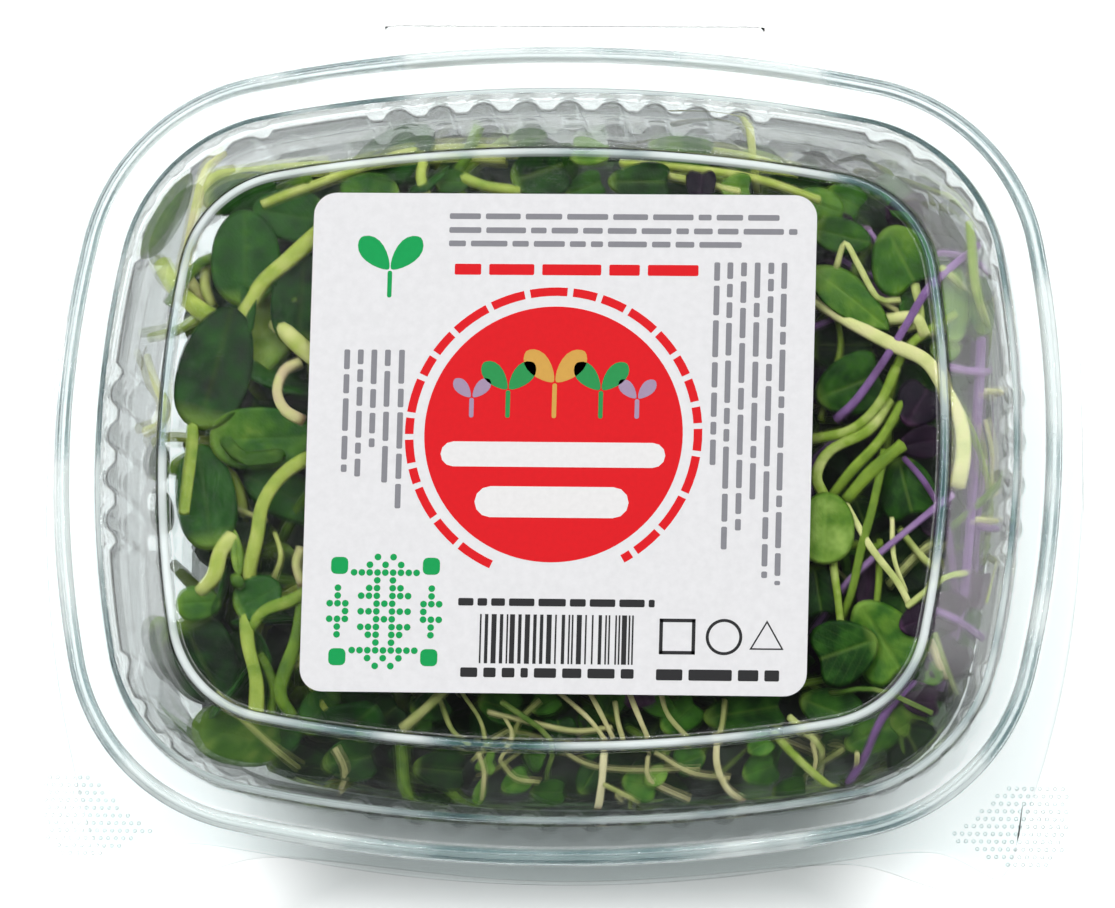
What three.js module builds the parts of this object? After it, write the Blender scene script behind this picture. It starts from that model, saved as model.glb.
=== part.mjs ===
// A shut clear punnet of mixed microgreens: a ribbed tray, a low lid that folds open on a
// living hinge along the back, a square label on the lid's flat top and the heap of greens.
// Millimetres, +Z up. The hinge is at +Y, the two finger ears are at the front corners (-Y),
// and the origin is at the bottom centre of the whole pack.
import * as THREE from 'three';

// ---- the moulded form: an oval of four long arcs joined by four corner arcs
const formCentre = { x: -1.4, y: -0.3 };
const wallHalfWidth = 92;
const wallHalfDepth = 74;
const frontBackRadius = 310;
const sideRadius = 205;
const cornerRadius = 35;
const cornerGrowth = 0.9;

// ---- the sheet and its levels
const sheet = 0.6;
const nestingGap = 0.4;
const trayRim = 40;
const lidRim = trayRim + sheet + nestingGap;

// ---- the ridge round each flange, the tray's inside the lid's
const lidRidge = [[8.4, 0], [7.2, 1.8], [5.9, 1.8], [4.7, 0]];
const trayRidge = [[7.9, 0], [7, 1.5], [6.1, 1.5], [5.2, 0]];

// ---- the lid, as [distance outside the wall line, height over the rim]
const lidProfile = [
  [0, 0],
  [-1.2, 2],
  [-10.7, 5.2],
  [-13.1, 5.8],
  [-14, 7.4],
  [-15, 7.4],
  [-16, 6.4],
];
const plateauHeight = 6.4;

// ---- the tray, the same way
const ledgeEdge = -0.3;
const stepOuter = { grow: -0.9, z: -4.7 };
const ribTop = { grow: -3.4, z: -5.2 };
const ribFoot = { grow: -5.8, z: -35.8 };
const floorEdge = { grow: -8.6, z: sheet - trayRim };

// ---- the half-round ribs in the middle of each side
const ribPitch = 8.57;
const ribHalfChord = 2.9;
const ribBulge = 1.9;
const ribsFrontBack = 9;
const ribsSide = 4;

// ---- the cut edges of the two flanges, as half an outline that is mirrored and then shifted
const lidEdge = {
  shift: 0, back: 84.55, cornerFrom: [50, 82.1], cornerTo: [101.3, 36], sideBow: [1.6, 1.2],
  sideTo: [104.5, -74.5], earRadius: 11, dip: [73.5, -78.8], front: -86.2,
};
const trayEdge = {
  shift: 1.3, back: 84.55, cornerFrom: [48, 81.1], cornerTo: [99.3, 34], sideBow: [3.5, 10.8],
  sideTo: [89.8, -76.5], earRadius: 10, dip: [57, -81.3], front: -85.3,
};
const tab = { half: 38.5, run: 2, drop: 0.7 };
const cornerBow = { pull: 25, lean: 2.2 };
const earPull = 8;
const frontPull = { dip: 14, middle: 34 };
const ridgeMargin = 0.7;

// ---- the fold, the label and the greens
const fold = { y: 85.7, radius: 0.8, wall: 0.4, halfLength: 38, openAngle: 1.9, arcSteps: 7 };
const label = { x: -0.1, y: 0.7, side: 100, corner: 4.5, thickness: 0.25, lift: 0.2, arcSteps: 4 };
const heap = {
  floorGap: 0.4, wallGap: 1.6, leftGap: 9, waist: 31, shoulder: 38.6, shoulderInset: 4.7,
  crown: 45.2, crownEdgeDrop: 1.1, crownInset: 10.7, lumps: 1.3, lumpShares: [0.82, 0.52, 0.22],
  sideWaver: 0.004,
};

// ---- how finely a quarter of the oval, half a cut edge and a rib are divided
const backSteps = 5;
const cornerSteps = 10;
const sideSteps = 5;
const quarter = backSteps + cornerSteps + sideSteps;
const whole = 4 * quarter;
const edgeSteps = { tab: 2, notch: 1, back: 2, corner: 10, side: 9, ear: 5, dip: 5, front: 6 };
const ribShares = [-1, -0.72, -0.36, 0, 0.36, 0.72, 1];
const ribClearance = 0.4;
const ribFootShare = 0.5;

// The arcs of the oval that lies grow millimetres outside the wall line.
function oval(grow) {
  const halfWidth = wallHalfWidth + grow;
  const halfDepth = wallHalfDepth + grow;
  const corner = cornerRadius + cornerGrowth * grow;
  const backCentre = new THREE.Vector2(0, halfDepth - frontBackRadius);
  const sideCentre = new THREE.Vector2(halfWidth - sideRadius, 0);
  const toBack = frontBackRadius - corner;
  const toSide = sideRadius - corner;
  const across = sideCentre.clone().sub(backCentre);
  const apart = across.length();
  const along = (toBack ** 2 - toSide ** 2 + apart ** 2) / (2 * apart);
  const off = Math.sqrt(toBack ** 2 - along ** 2);
  across.normalize();
  const centre = backCentre.clone().addScaledVector(across, along);
  centre.add(new THREE.Vector2(across.y, -across.x).multiplyScalar(off));
  const backAngle = centre.clone().sub(backCentre).angle();
  const sideAngle = centre.clone().sub(sideCentre).angle();
  return { corner, backCentre, sideCentre, centre, backAngle, sideAngle };
}

// A point of the oval and its outward normal. Station 0 is the middle of the back and the
// stations run through the right side and the front, whole of them in one round.
function ovalPoint(form, station) {
  const half = station > whole / 2 ? whole - station : station;
  const step = half > quarter ? 2 * quarter - half : half;
  let centre = form.sideCentre;
  let radius = sideRadius;
  let angle = form.sideAngle * (quarter - step) / sideSteps;
  if (step < backSteps) {
    centre = form.backCentre;
    radius = frontBackRadius;
    angle = THREE.MathUtils.lerp(Math.PI / 2, form.backAngle, step / backSteps);
  } else if (step < backSteps + cornerSteps) {
    centre = form.centre;
    radius = form.corner;
    angle = THREE.MathUtils.lerp(form.backAngle, form.sideAngle, (step - backSteps) / cornerSteps);
  }
  const signX = station > whole / 2 ? -1 : 1;
  const signY = half > quarter ? -1 : 1;
  const nx = Math.cos(angle);
  const ny = Math.sin(angle);
  return {
    x: signX * (centre.x + radius * nx),
    y: signY * (centre.y + radius * ny),
    nx: signX * nx,
    ny: signY * ny,
  };
}

const evenStations = Array.from({ length: whole }, (_, i) => i);

// A closed ring of points on the oval, moved outwards by bulge(station).
function ovalRing(grow, z, stations = evenStations, bulge = () => 0) {
  const form = oval(grow);
  const points = stations.map((station) => {
    const p = ovalPoint(form, station);
    const out = bulge(station);
    return new THREE.Vector3(formCentre.x + p.x + out * p.nx, formCentre.y + p.y + out * p.ny, z);
  });
  return { stations, points };
}

// Half the cut edge of a flange: the hinge tab, the back corner, the side, the ear, the front.
function halfEdge(edge) {
  const at = (x, y) => new THREE.Vector2(x, y);
  const line = (...p) => new THREE.LineCurve(...p);
  const bezier = (...p) => new THREE.CubicBezierCurve(...p);
  const middle = at(0, edge.back);
  const tabEnd = at(tab.half, edge.back);
  const from = at(...edge.cornerFrom);
  const notch = at(tab.half + tab.run, from.y + tab.drop);
  const to = at(...edge.cornerTo);
  const side = at(...edge.sideTo);
  const dip = at(...edge.dip);
  const front = at(0, edge.front);
  const radius = edge.earRadius;
  const ear = at(side.x - radius, side.y - radius);
  const third = side.clone().sub(to).divideScalar(3);
  const fromPull = at(from.x + cornerBow.pull, from.y - cornerBow.lean);
  const toPull = at(to.x - cornerBow.lean, to.y + cornerBow.pull);
  const upperSide = at(to.x + edge.sideBow[0], to.y + third.y);
  const lowerSide = at(side.x - third.x + edge.sideBow[1], side.y - third.y);
  const earHandle = at(ear.x - earPull, ear.y);
  const dipHandle = at(dip.x + earPull, dip.y);
  const dipFront = at(dip.x - frontPull.dip, dip.y);
  const middleFront = at(dip.x - frontPull.middle, front.y);
  const stretches = [
    [line(middle, tabEnd), edgeSteps.tab],
    [line(tabEnd, notch), edgeSteps.notch],
    [line(notch, from), edgeSteps.back],
    [bezier(from, fromPull, toPull, to), edgeSteps.corner],
    [bezier(to, upperSide, lowerSide, side), edgeSteps.side],
    [new THREE.EllipseCurve(ear.x, side.y, radius, radius, 0, -Math.PI / 2, true), edgeSteps.ear],
    [bezier(ear, earHandle, dipHandle, dip), edgeSteps.dip],
    [bezier(dip, dipFront, middleFront, front), edgeSteps.front],
  ];
  return [middle, ...stretches.flatMap(([curve, count]) => curve.getPoints(count).slice(1))];
}

// The whole cut edge, moved out where it would come too near the foot of the ridge.
function flangeRing(edge, ridge, z) {
  const foot = oval(ridge[0][0] + ridgeMargin);
  const right = halfEdge(edge);
  const left = right.slice(1, -1).reverse().map((p) => new THREE.Vector2(-p.x, p.y));
  const points = [...right, ...left].map((p, station) => {
    const near = ovalPoint(foot, station);
    const x = p.x + edge.shift;
    const inside = (formCentre.x + near.x - x) * near.nx + (formCentre.y + near.y - p.y) * near.ny;
    const out = Math.max(inside, 0);
    return new THREE.Vector3(x + out * near.nx, p.y + out * near.ny, z);
  });
  return { stations: evenStations, points };
}

// The same profile one sheet lower, measured square to each face.
function underside(profile) {
  return profile.map(([grow, z], i) => {
    const before = profile[i - 1] ?? [grow + 1, z];
    const after = profile[i + 1] ?? [grow - 1, z];
    const square = (from, to) => new THREE.Vector2(from[1] - to[1], to[0] - from[0]).normalize();
    const first = square(before, [grow, z]);
    const mean = first.clone().add(square([grow, z], after)).normalize();
    const reach = sheet / mean.dot(first);
    return [grow + mean.x * reach, z + mean.y * reach];
  });
}

// Triangles between two closed rings whose points are matched by their stations.
function zip(indices, first, firstStations, second, secondStations) {
  const n = firstStations.length;
  const m = secondStations.length;
  let i = 0;
  let j = 0;
  while (i < n || j < m) {
    const nextFirst = i + 1 < n ? firstStations[i + 1] : whole;
    const nextSecond = j + 1 < m ? secondStations[j + 1] : whole;
    if (j >= m || (i < n && nextFirst <= nextSecond)) {
      indices.push(first + (i % n), first + ((i + 1) % n), second + (j % m));
      i += 1;
    } else {
      indices.push(first + (i % n), second + ((j + 1) % m), second + (j % m));
      j += 1;
    }
  }
}

// A closed body through rings that run from the cut edge over the top to a middle point,
// then back from a middle point under it.
function sheetBody(topRings, topMiddle, underRings, underMiddle) {
  const positions = [];
  const indices = [];
  const put = (points) => {
    const start = positions.length / 3;
    points.forEach((p) => positions.push(p.x, p.y, p.z));
    return start;
  };
  const rings = [...topRings, ...underRings];
  const starts = rings.map((ring) => put(ring.points));
  const join = (a, b) => zip(indices, starts[a], rings[a].stations, starts[b], rings[b].stations);
  for (let i = 0; i + 1 < topRings.length; i += 1) join(i, i + 1);
  for (let i = topRings.length; i + 1 < rings.length; i += 1) join(i, i + 1);
  join(rings.length - 1, 0);
  const cap = (ringIndex, middle, flip) => {
    const centre = put([middle]);
    const start = starts[ringIndex];
    const count = rings[ringIndex].points.length;
    for (let k = 0; k < count; k += 1) {
      const a = start + k;
      const b = start + (k + 1) % count;
      indices.push(...(flip ? [b, a, centre] : [a, b, centre]));
    }
  };
  cap(topRings.length - 1, topMiddle, false);
  cap(topRings.length, underMiddle, true);
  const geometry = new THREE.BufferGeometry();
  geometry.setAttribute('position', new THREE.Float32BufferAttribute(positions, 3));
  geometry.setIndex(signedVolume(positions, indices) < 0 ? turned(indices) : indices);
  geometry.computeVertexNormals();
  return geometry;
}

function signedVolume(positions, indices) {
  const corner = (k) => new THREE.Vector3().fromArray(positions, 3 * k);
  let volume = 0;
  for (let i = 0; i < indices.length; i += 3) {
    const [a, b, c] = [corner(indices[i]), corner(indices[i + 1]), corner(indices[i + 2])];
    volume += a.dot(b.cross(c)) / 6;
  }
  return volume;
}

function turned(indices) {
  return indices.map((_, i) => indices[i - (i % 3) + [0, 2, 1][i % 3]]);
}

function lidGeometry() {
  const profile = [...lidRidge, ...lidProfile];
  const middle = new THREE.Vector3(formCentre.x, formCentre.y, lidRim + plateauHeight);
  const top = [flangeRing(lidEdge, lidRidge, lidRim)];
  profile.forEach(([grow, z]) => top.push(ovalRing(grow, lidRim + z)));
  const under = underside(profile).map(([grow, z]) => ovalRing(grow, lidRim + z));
  under.unshift(flangeRing(lidEdge, lidRidge, lidRim - sheet));
  return sheetBody(top, middle, under.reverse(), middle.clone().setZ(middle.z - sheet));
}

// The stations of the ribs' middles, for the back and the right side, then mirrored.
function ribStations() {
  const form = oval(ribTop.grow);
  const backSpan = Math.PI / 2 - form.backAngle;
  const stations = [];
  for (let i = 0; i < ribsFrontBack; i += 1) {
    const x = (i - (ribsFrontBack - 1) / 2) * ribPitch;
    const station = backSteps * Math.asin(x / frontBackRadius) / backSpan;
    stations.push((station + whole) % whole, 2 * quarter - station);
  }
  for (let i = 0; i < ribsSide; i += 1) {
    const y = (i - (ribsSide - 1) / 2) * ribPitch;
    const station = quarter - sideSteps * Math.asin(y / sideRadius) / form.sideAngle;
    stations.push(station, whole - station);
  }
  return stations.sort((a, b) => a - b);
}

// How far one station reaches along the wall, in millimetres, on the arc that a rib is on.
function stationLength(station) {
  const form = oval(ribTop.grow);
  const step = Math.min(station % (2 * quarter), 2 * quarter - (station % (2 * quarter)));
  return step < quarter / 2
    ? frontBackRadius * (Math.PI / 2 - form.backAngle) / backSteps
    : sideRadius * form.sideAngle / sideSteps;
}

// The ribbed wall: every even station that lies between ribs, and seven across each rib.
function ribbedWall() {
  const middles = ribStations();
  const ribRadius = (ribHalfChord ** 2 + ribBulge ** 2) / (2 * ribBulge);
  const offset = (station, middle) => {
    const turn = Math.abs(station - middle);
    return Math.min(turn, whole - turn) * stationLength(middle);
  };
  const bulge = (station) => {
    const away = Math.min(...middles.map((middle) => offset(station, middle)));
    const rise = Math.sqrt(Math.max(ribRadius ** 2 - away ** 2, 0)) - (ribRadius - ribBulge);
    return away < ribHalfChord ? Math.max(rise, 0) : 0;
  };
  const stations = evenStations.filter(
    (station) => middles.every((middle) => offset(station, middle) > ribHalfChord + ribClearance));
  for (const middle of middles) {
    for (const share of ribShares) {
      stations.push((middle + share * ribHalfChord / stationLength(middle) + whole) % whole);
    }
  }
  return { stations: stations.sort((a, b) => a - b), bulge };
}

function trayGeometry() {
  const profile = [
    ...trayRidge,
    [ledgeEdge, 0],
    [stepOuter.grow, stepOuter.z],
    [ribTop.grow, ribTop.z],
    [ribFoot.grow, ribFoot.z],
    [floorEdge.grow, floorEdge.z],
  ];
  const { stations, bulge } = ribbedWall();
  const ribTopIndex = profile.findIndex(([grow]) => grow === ribTop.grow);
  const footBulge = (station) => ribFootShare * bulge(station);
  const ring = ([grow, z], i) => {
    if (i === ribTopIndex) return ovalRing(grow, trayRim + z, stations, bulge);
    if (i === ribTopIndex + 1) return ovalRing(grow, trayRim + z, stations, footBulge);
    return ovalRing(grow, trayRim + z);
  };
  const top = [flangeRing(trayEdge, trayRidge, trayRim), ...profile.map(ring)];
  const lower = underside(profile);
  lower[lower.length - 1][1] = -trayRim;
  const under = [flangeRing(trayEdge, trayRidge, trayRim - sheet), ...lower.map(ring)];
  const middle = new THREE.Vector3(formCentre.x, formCentre.y, sheet);
  return sheetBody(top, middle, under.reverse(), middle.clone().setZ(0));
}

// The living hinge: a thin half tube along the back, open towards the flanges.
function foldGeometry() {
  const inner = fold.radius - fold.wall;
  const section = new THREE.Shape();
  section.absarc(0, 0, fold.radius, -fold.openAngle, fold.openAngle, false);
  section.absarc(0, 0, inner, fold.openAngle, -fold.openAngle, true);
  section.closePath();
  const geometry = new THREE.ExtrudeGeometry(section, {
    depth: 2 * fold.halfLength,
    bevelEnabled: false,
    curveSegments: fold.arcSteps,
  });
  geometry.translate(0, 0, -fold.halfLength);
  geometry.rotateY(Math.PI / 2);
  geometry.rotateX(Math.PI / 2);
  return geometry;
}

function labelGeometry() {
  const half = label.side / 2;
  const inset = half - label.corner;
  const outline = new THREE.Shape();
  outline.absarc(inset, inset, label.corner, 0, Math.PI / 2, false);
  outline.absarc(-inset, inset, label.corner, Math.PI / 2, Math.PI, false);
  outline.absarc(-inset, -inset, label.corner, Math.PI, 1.5 * Math.PI, false);
  outline.absarc(inset, -inset, label.corner, 1.5 * Math.PI, 2 * Math.PI, false);
  return new THREE.ExtrudeGeometry(outline, {
    depth: label.thickness,
    bevelEnabled: false,
    curveSegments: label.arcSteps,
  });
}

// A gentle unevenness that has no joint at the seam of the round.
function lump(x, y) {
  return Math.sin(0.17 * x + 1.1) * Math.cos(0.23 * y) + 0.6 * Math.sin(0.31 * y - 0.12 * x);
}

// The greens: upright at the walls with a gap on the left, and low lumps on top.
function heapGeometry() {
  const leftness = (x) => Math.max(0, -x / wallHalfWidth) ** 3;
  const ring = (grow, z, scale = 1) => {
    const base = ovalRing(grow, z);
    const points = base.points.map((p) => {
      const x = (p.x - formCentre.x) * scale;
      const y = (p.y - formCentre.y) * scale;
      const waver = 1 - heap.sideWaver * (1 + lump(3 * x, 3 * y));
      const inward = heap.leftGap * leftness(x);
      const lift = scale < 1 ? heap.lumps * lump(x, y) * scale : 0;
      return new THREE.Vector3(formCentre.x + x * waver + inward, formCentre.y + y * waver, z + lift);
    });
    return { stations: base.stations, points };
  };
  const foot = floorEdge.grow - heap.wallGap;
  const crownGrow = ribTop.grow - heap.crownInset;
  const bottomZ = sheet + heap.floorGap;
  const crownZ = heap.crown - heap.lumps;
  const top = [
    ring(foot, bottomZ),
    ring(ribTop.grow - heap.wallGap, heap.waist),
    ring(ribTop.grow - heap.shoulderInset, heap.shoulder),
    ring(crownGrow, crownZ - heap.crownEdgeDrop),
    ...heap.lumpShares.map((share) => ring(crownGrow, crownZ, share)),
  ];
  const middle = new THREE.Vector3(formCentre.x, formCentre.y, crownZ);
  const under = [ring(foot - heap.wallGap, bottomZ)];
  return sheetBody(top, middle, under, middle.clone().setZ(bottomZ));
}

function material(color, roughness, opacity = 1) {
  return new THREE.MeshStandardMaterial({
    color,
    roughness,
    metalness: 0,
    opacity,
    transparent: opacity < 1,
  });
}

function piece(name, geometry, finish) {
  const mesh = new THREE.Mesh(geometry, finish);
  mesh.name = name;
  return mesh;
}

const clearPet = material('#dfe9e8', 0.08, 0.35);
const pack = new THREE.Group();
pack.add(piece('tray', trayGeometry(), clearPet));
pack.add(piece('greens', heapGeometry(), material('#3c6a2c', 0.6)));
pack.add(piece('lid', lidGeometry(), clearPet));

const foldPiece = piece('hinge_fold', foldGeometry(), clearPet);
foldPiece.position.set(0, fold.y, (trayRim + lidRim - sheet) / 2);
pack.add(foldPiece);

const labelPiece = piece('label', labelGeometry(), material('#ededf0', 0.45));
labelPiece.position.set(label.x, label.y, lidRim + plateauHeight + label.lift);
pack.add(labelPiece);

export default pack;
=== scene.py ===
import math
import random

import bmesh
import bpy
import numpy as np
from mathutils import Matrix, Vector


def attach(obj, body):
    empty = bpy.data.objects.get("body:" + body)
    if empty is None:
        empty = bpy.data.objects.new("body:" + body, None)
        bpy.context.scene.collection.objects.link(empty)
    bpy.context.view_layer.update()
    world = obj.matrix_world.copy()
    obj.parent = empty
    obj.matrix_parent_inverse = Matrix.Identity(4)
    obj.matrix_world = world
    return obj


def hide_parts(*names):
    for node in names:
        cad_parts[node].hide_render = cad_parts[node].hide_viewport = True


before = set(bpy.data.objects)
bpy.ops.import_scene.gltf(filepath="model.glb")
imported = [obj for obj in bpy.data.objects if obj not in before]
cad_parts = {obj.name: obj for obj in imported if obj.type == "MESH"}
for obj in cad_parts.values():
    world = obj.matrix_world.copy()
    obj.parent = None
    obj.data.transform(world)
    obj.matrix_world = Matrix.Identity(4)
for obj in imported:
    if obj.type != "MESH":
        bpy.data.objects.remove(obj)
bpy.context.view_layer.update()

mm = 0.001
scene = bpy.context.scene


# small helpers
def linear(hexColour, alpha=1.0):
    parts = [int(hexColour[i:i + 2], 16) / 255 for i in (0, 2, 4)]
    return tuple(c / 12.92 if c <= 0.04045 else ((c + 0.055) / 1.055) ** 2.4 for c in parts) + (alpha,)


# A kind with no prefix is a shader node. Inputs go by name or number, and each is a value, a socket,
# or a node that stands for its first output. Stops are the places and colours of a colour ramp.
def addNode(tree, kind, inputs=None, stops=(), **settings):
    made = tree.nodes.new(kind if "Node" in kind else "ShaderNode" + kind)
    for name, value in settings.items():
        setattr(made, name, value)
    for key, value in (inputs or {}).items():
        if isinstance(value, bpy.types.Node):
            value = value.outputs[0]
        if isinstance(value, bpy.types.NodeSocket):
            tree.links.new(value, made.inputs[key])
        else:
            made.inputs[key].default_value = value
    while stops and len(made.color_ramp.elements) < len(stops):
        made.color_ramp.elements.new(0.5)
    for element, (place, colour) in zip(made.color_ramp.elements if stops else (), stops):
        element.position = place
        element.color = linear(colour) if isinstance(colour, str) else colour
    return made


def newMaterial(name):
    made = bpy.data.materials.new(name)
    made.use_nodes = True
    made.node_tree.nodes.clear()
    return made, made.node_tree


def newMesh(name, points, faces, attributes=None, uv=None, smooth=True):
    mesh = bpy.data.meshes.new(name)
    mesh.from_pydata((np.asarray(points, float) * mm).tolist(), [], faces)
    if smooth:
        mesh.polygons.foreach_set("use_smooth", [True] * len(mesh.polygons))
    for key, values in (attributes or {}).items():
        layer = mesh.attributes.new(key, "FLOAT", "POINT")
        layer.data.foreach_set("value", np.asarray(values, np.float32))
    if uv is not None:
        layer = mesh.uv_layers.new(name="surface")
        loops = np.zeros(len(mesh.loops), np.int32)
        mesh.loops.foreach_get("vertex_index", loops)
        layer.data.foreach_set("uv", np.asarray(uv, np.float32)[loops].ravel())
    mesh.validate()
    mesh.update()
    made = bpy.data.objects.new(name, mesh)
    scene.collection.objects.link(made)
    return made


def ringFaces(first, second, count, flip=False):  # quads between two rings of points
    faces = []
    for i in range(count):
        j = (i + 1) % count
        a, b, c, d = first + i, first + j, second + j, second + i
        faces.append((a, d, c, b) if flip else (a, b, c, d))
    return faces


def capFaces(base, middle, count, flip=False):  # triangles from a ring to its middle point
    faces = []
    for i in range(count):
        j = (i + 1) % count
        faces.append((base + j, base + i, middle) if flip else (base + i, base + j, middle))
    return faces


def setInput(modifier, name, value):
    for item in modifier.node_group.interface.items_tree:
        if item.item_type == "SOCKET" and item.in_out == "INPUT" and item.name == name:
            modifier[item.identifier] = value


def smoothStep(low, high, value):
    t = np.clip((np.asarray(value, float) - low) / (high - low), 0, 1)
    return t * t * (3 - 2 * t)


# camera, at the photograph's angle
view = {
    "target": (0.07, -2.12, 51.0),  # mm
    "distance": 1900.0,
    "leanRight": 6.2,  # degrees off straight above, to the right and to the front
    "leanFront": 10.1,
    "roll": 1.5617,
    "focalPixels": 9668.0,  # for a picture 1115 px wide
    "width": 1115,
    "height": 908,
    "sensor": 36,
    "clip": (0.05, 30),  # metres
}

leanX, leanY = (math.tan(math.radians(view[key])) for key in ("leanRight", "leanFront"))
camBack = Vector((leanX, -leanY, 1)).normalized()
camFlat = Vector((0, 1, 0)).cross(camBack).normalized()
camTall = camBack.cross(camFlat)
rollTurn = math.radians(view["roll"])
camRight = math.cos(rollTurn) * camFlat + math.sin(rollTurn) * camTall
camUp = -math.sin(rollTurn) * camFlat + math.cos(rollTurn) * camTall
camPlace = Vector(view["target"]) + view["distance"] * camBack

lens = bpy.data.cameras.new("photoCamera")
lens.sensor_width = view["sensor"]
lens.sensor_fit = "HORIZONTAL"
lens.lens = view["sensor"] * view["focalPixels"] / view["width"]
lens.clip_start, lens.clip_end = view["clip"]
photoCamera = bpy.data.objects.new("photoCamera", lens)
scene.collection.objects.link(photoCamera)
turn = photoCamera.matrix_world.to_3x3()
for row in range(3):
    turn[row] = (camRight[row], camUp[row], camBack[row])
photoCamera.matrix_world = turn.to_4x4()
photoCamera.location = camPlace * mm
scene.camera = photoCamera


def fromPhoto(px, py, z):  # the point at height z (mm) that the camera sees at that place
    across = (px - view["width"] / 2) / view["focalPixels"]
    up = (view["height"] / 2 - py) / view["focalPixels"]
    ray = across * camRight + up * camUp - camBack
    return np.array(camPlace + ray * ((z - camPlace.z) / ray.z))


# the moulded oval, as the CAD has it
form = {
    "centre": (-1.4, -0.3),
    "halfWidth": 92.0,
    "halfDepth": 74.0,
    "frontBackRadius": 310.0,
    "sideRadius": 205.0,
    "cornerRadius": 35.0,
    "cornerGrowth": 0.9,
    "trayRim": 40.0,
    "lidRim": 41.0,
    "sheet": 0.3,
    "ridgeMargin": 0.7,
}
straight, turned = 5, 15  # stations where the back's arc ends and where the side's arc starts
quarter = 20
whole = 4 * quarter


def ovalArcs(grow):
    corner = form["cornerRadius"] + form["cornerGrowth"] * grow
    backCentre = np.array([0, form["halfDepth"] + grow - form["frontBackRadius"]])
    sideCentre = np.array([form["halfWidth"] + grow - form["sideRadius"], 0])
    toBack = form["frontBackRadius"] - corner
    toSide = form["sideRadius"] - corner
    across = sideCentre - backCentre
    apart = np.linalg.norm(across)
    along = (toBack ** 2 - toSide ** 2 + apart ** 2) / (2 * apart)
    off = math.sqrt(toBack ** 2 - along ** 2)
    across = across / apart
    centre = backCentre + across * along + np.array([across[1], -across[0]]) * off
    backAngle = math.atan2(*(centre - backCentre)[::-1])
    sideAngle = math.atan2(*(centre - sideCentre)[::-1])
    return corner, backCentre, sideCentre, centre, backAngle, sideAngle


def ovalPoints(grow, stations):  # points and outward normals, about the form's centre
    corner, backCentre, sideCentre, centre, backAngle, sideAngle = ovalArcs(grow)
    s = np.mod(np.asarray(stations, float), whole)
    half = np.where(s > whole / 2, whole - s, s)
    step = np.where(half > quarter, 2 * quarter - half, half)
    onBack = step < straight
    onCorner = (step >= straight) & (step < turned)
    alongBack = math.pi / 2 + (backAngle - math.pi / 2) * step / straight
    roundCorner = backAngle + (sideAngle - backAngle) * (step - straight) / (turned - straight)
    alongSide = sideAngle * (quarter - step) / (quarter - turned)
    angle = np.where(onBack, alongBack, np.where(onCorner, roundCorner, alongSide))
    radius = np.where(onBack, form["frontBackRadius"], np.where(onCorner, corner, form["sideRadius"]))
    cx = np.where(onBack, backCentre[0], np.where(onCorner, centre[0], sideCentre[0]))
    cy = np.where(onBack, backCentre[1], np.where(onCorner, centre[1], sideCentre[1]))
    signX = np.where(s > whole / 2, -1, 1)
    signY = np.where(half > quarter, -1, 1)
    nx, ny = np.cos(angle), np.sin(angle)
    points = np.stack([signX * (cx + radius * nx), signY * (cy + radius * ny)], 1)
    return points, np.stack([signX * nx, signY * ny], 1)


def growOf(xy, reach=0.0):  # how far points lie outside the wall line, in mm
    p = np.abs(np.asarray(xy, float) - np.array(form["centre"]))
    corner, backCentre, sideCentre, centre, backAngle, sideAngle = ovalArcs(reach)
    toBack = np.linalg.norm(p - backCentre, axis=1) - form["frontBackRadius"]
    toSide = np.linalg.norm(p - sideCentre, axis=1) - form["sideRadius"]
    toCorner = np.linalg.norm(p - centre, axis=1) - corner
    bearing = np.arctan2(p[:, 1] - centre[1], p[:, 0] - centre[0])
    inCorner = (bearing < backAngle) & (bearing > sideAngle)
    return np.where(inCorner, toCorner, np.maximum(toBack, toSide)) + reach


lidEdge = {
    "shift": 0, "back": 84.55, "cornerFrom": (50, 82.1), "cornerTo": (101.3, 36), "sideBow": (1.6, 1.2),
    "sideTo": (104.5, -74.5), "earRadius": 11, "dip": (73.5, -78.8), "front": -86.2, "ridgeFoot": 8.4,
}
trayEdge = {
    "shift": 1.3, "back": 84.55, "cornerFrom": (48, 81.1), "cornerTo": (99.3, 34), "sideBow": (3.5, 10.8),
    "sideTo": (89.8, -76.5), "earRadius": 10, "dip": (57, -81.3), "front": -85.3, "ridgeFoot": 7.9,
}
edgeShape = {
    "tab": 38.5, "tabRun": 2, "tabDrop": 0.7, "cornerPull": 25, "cornerLean": 2.2, "earPull": 8,
    "dipPull": 14, "frontPull": 34,
}


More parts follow.
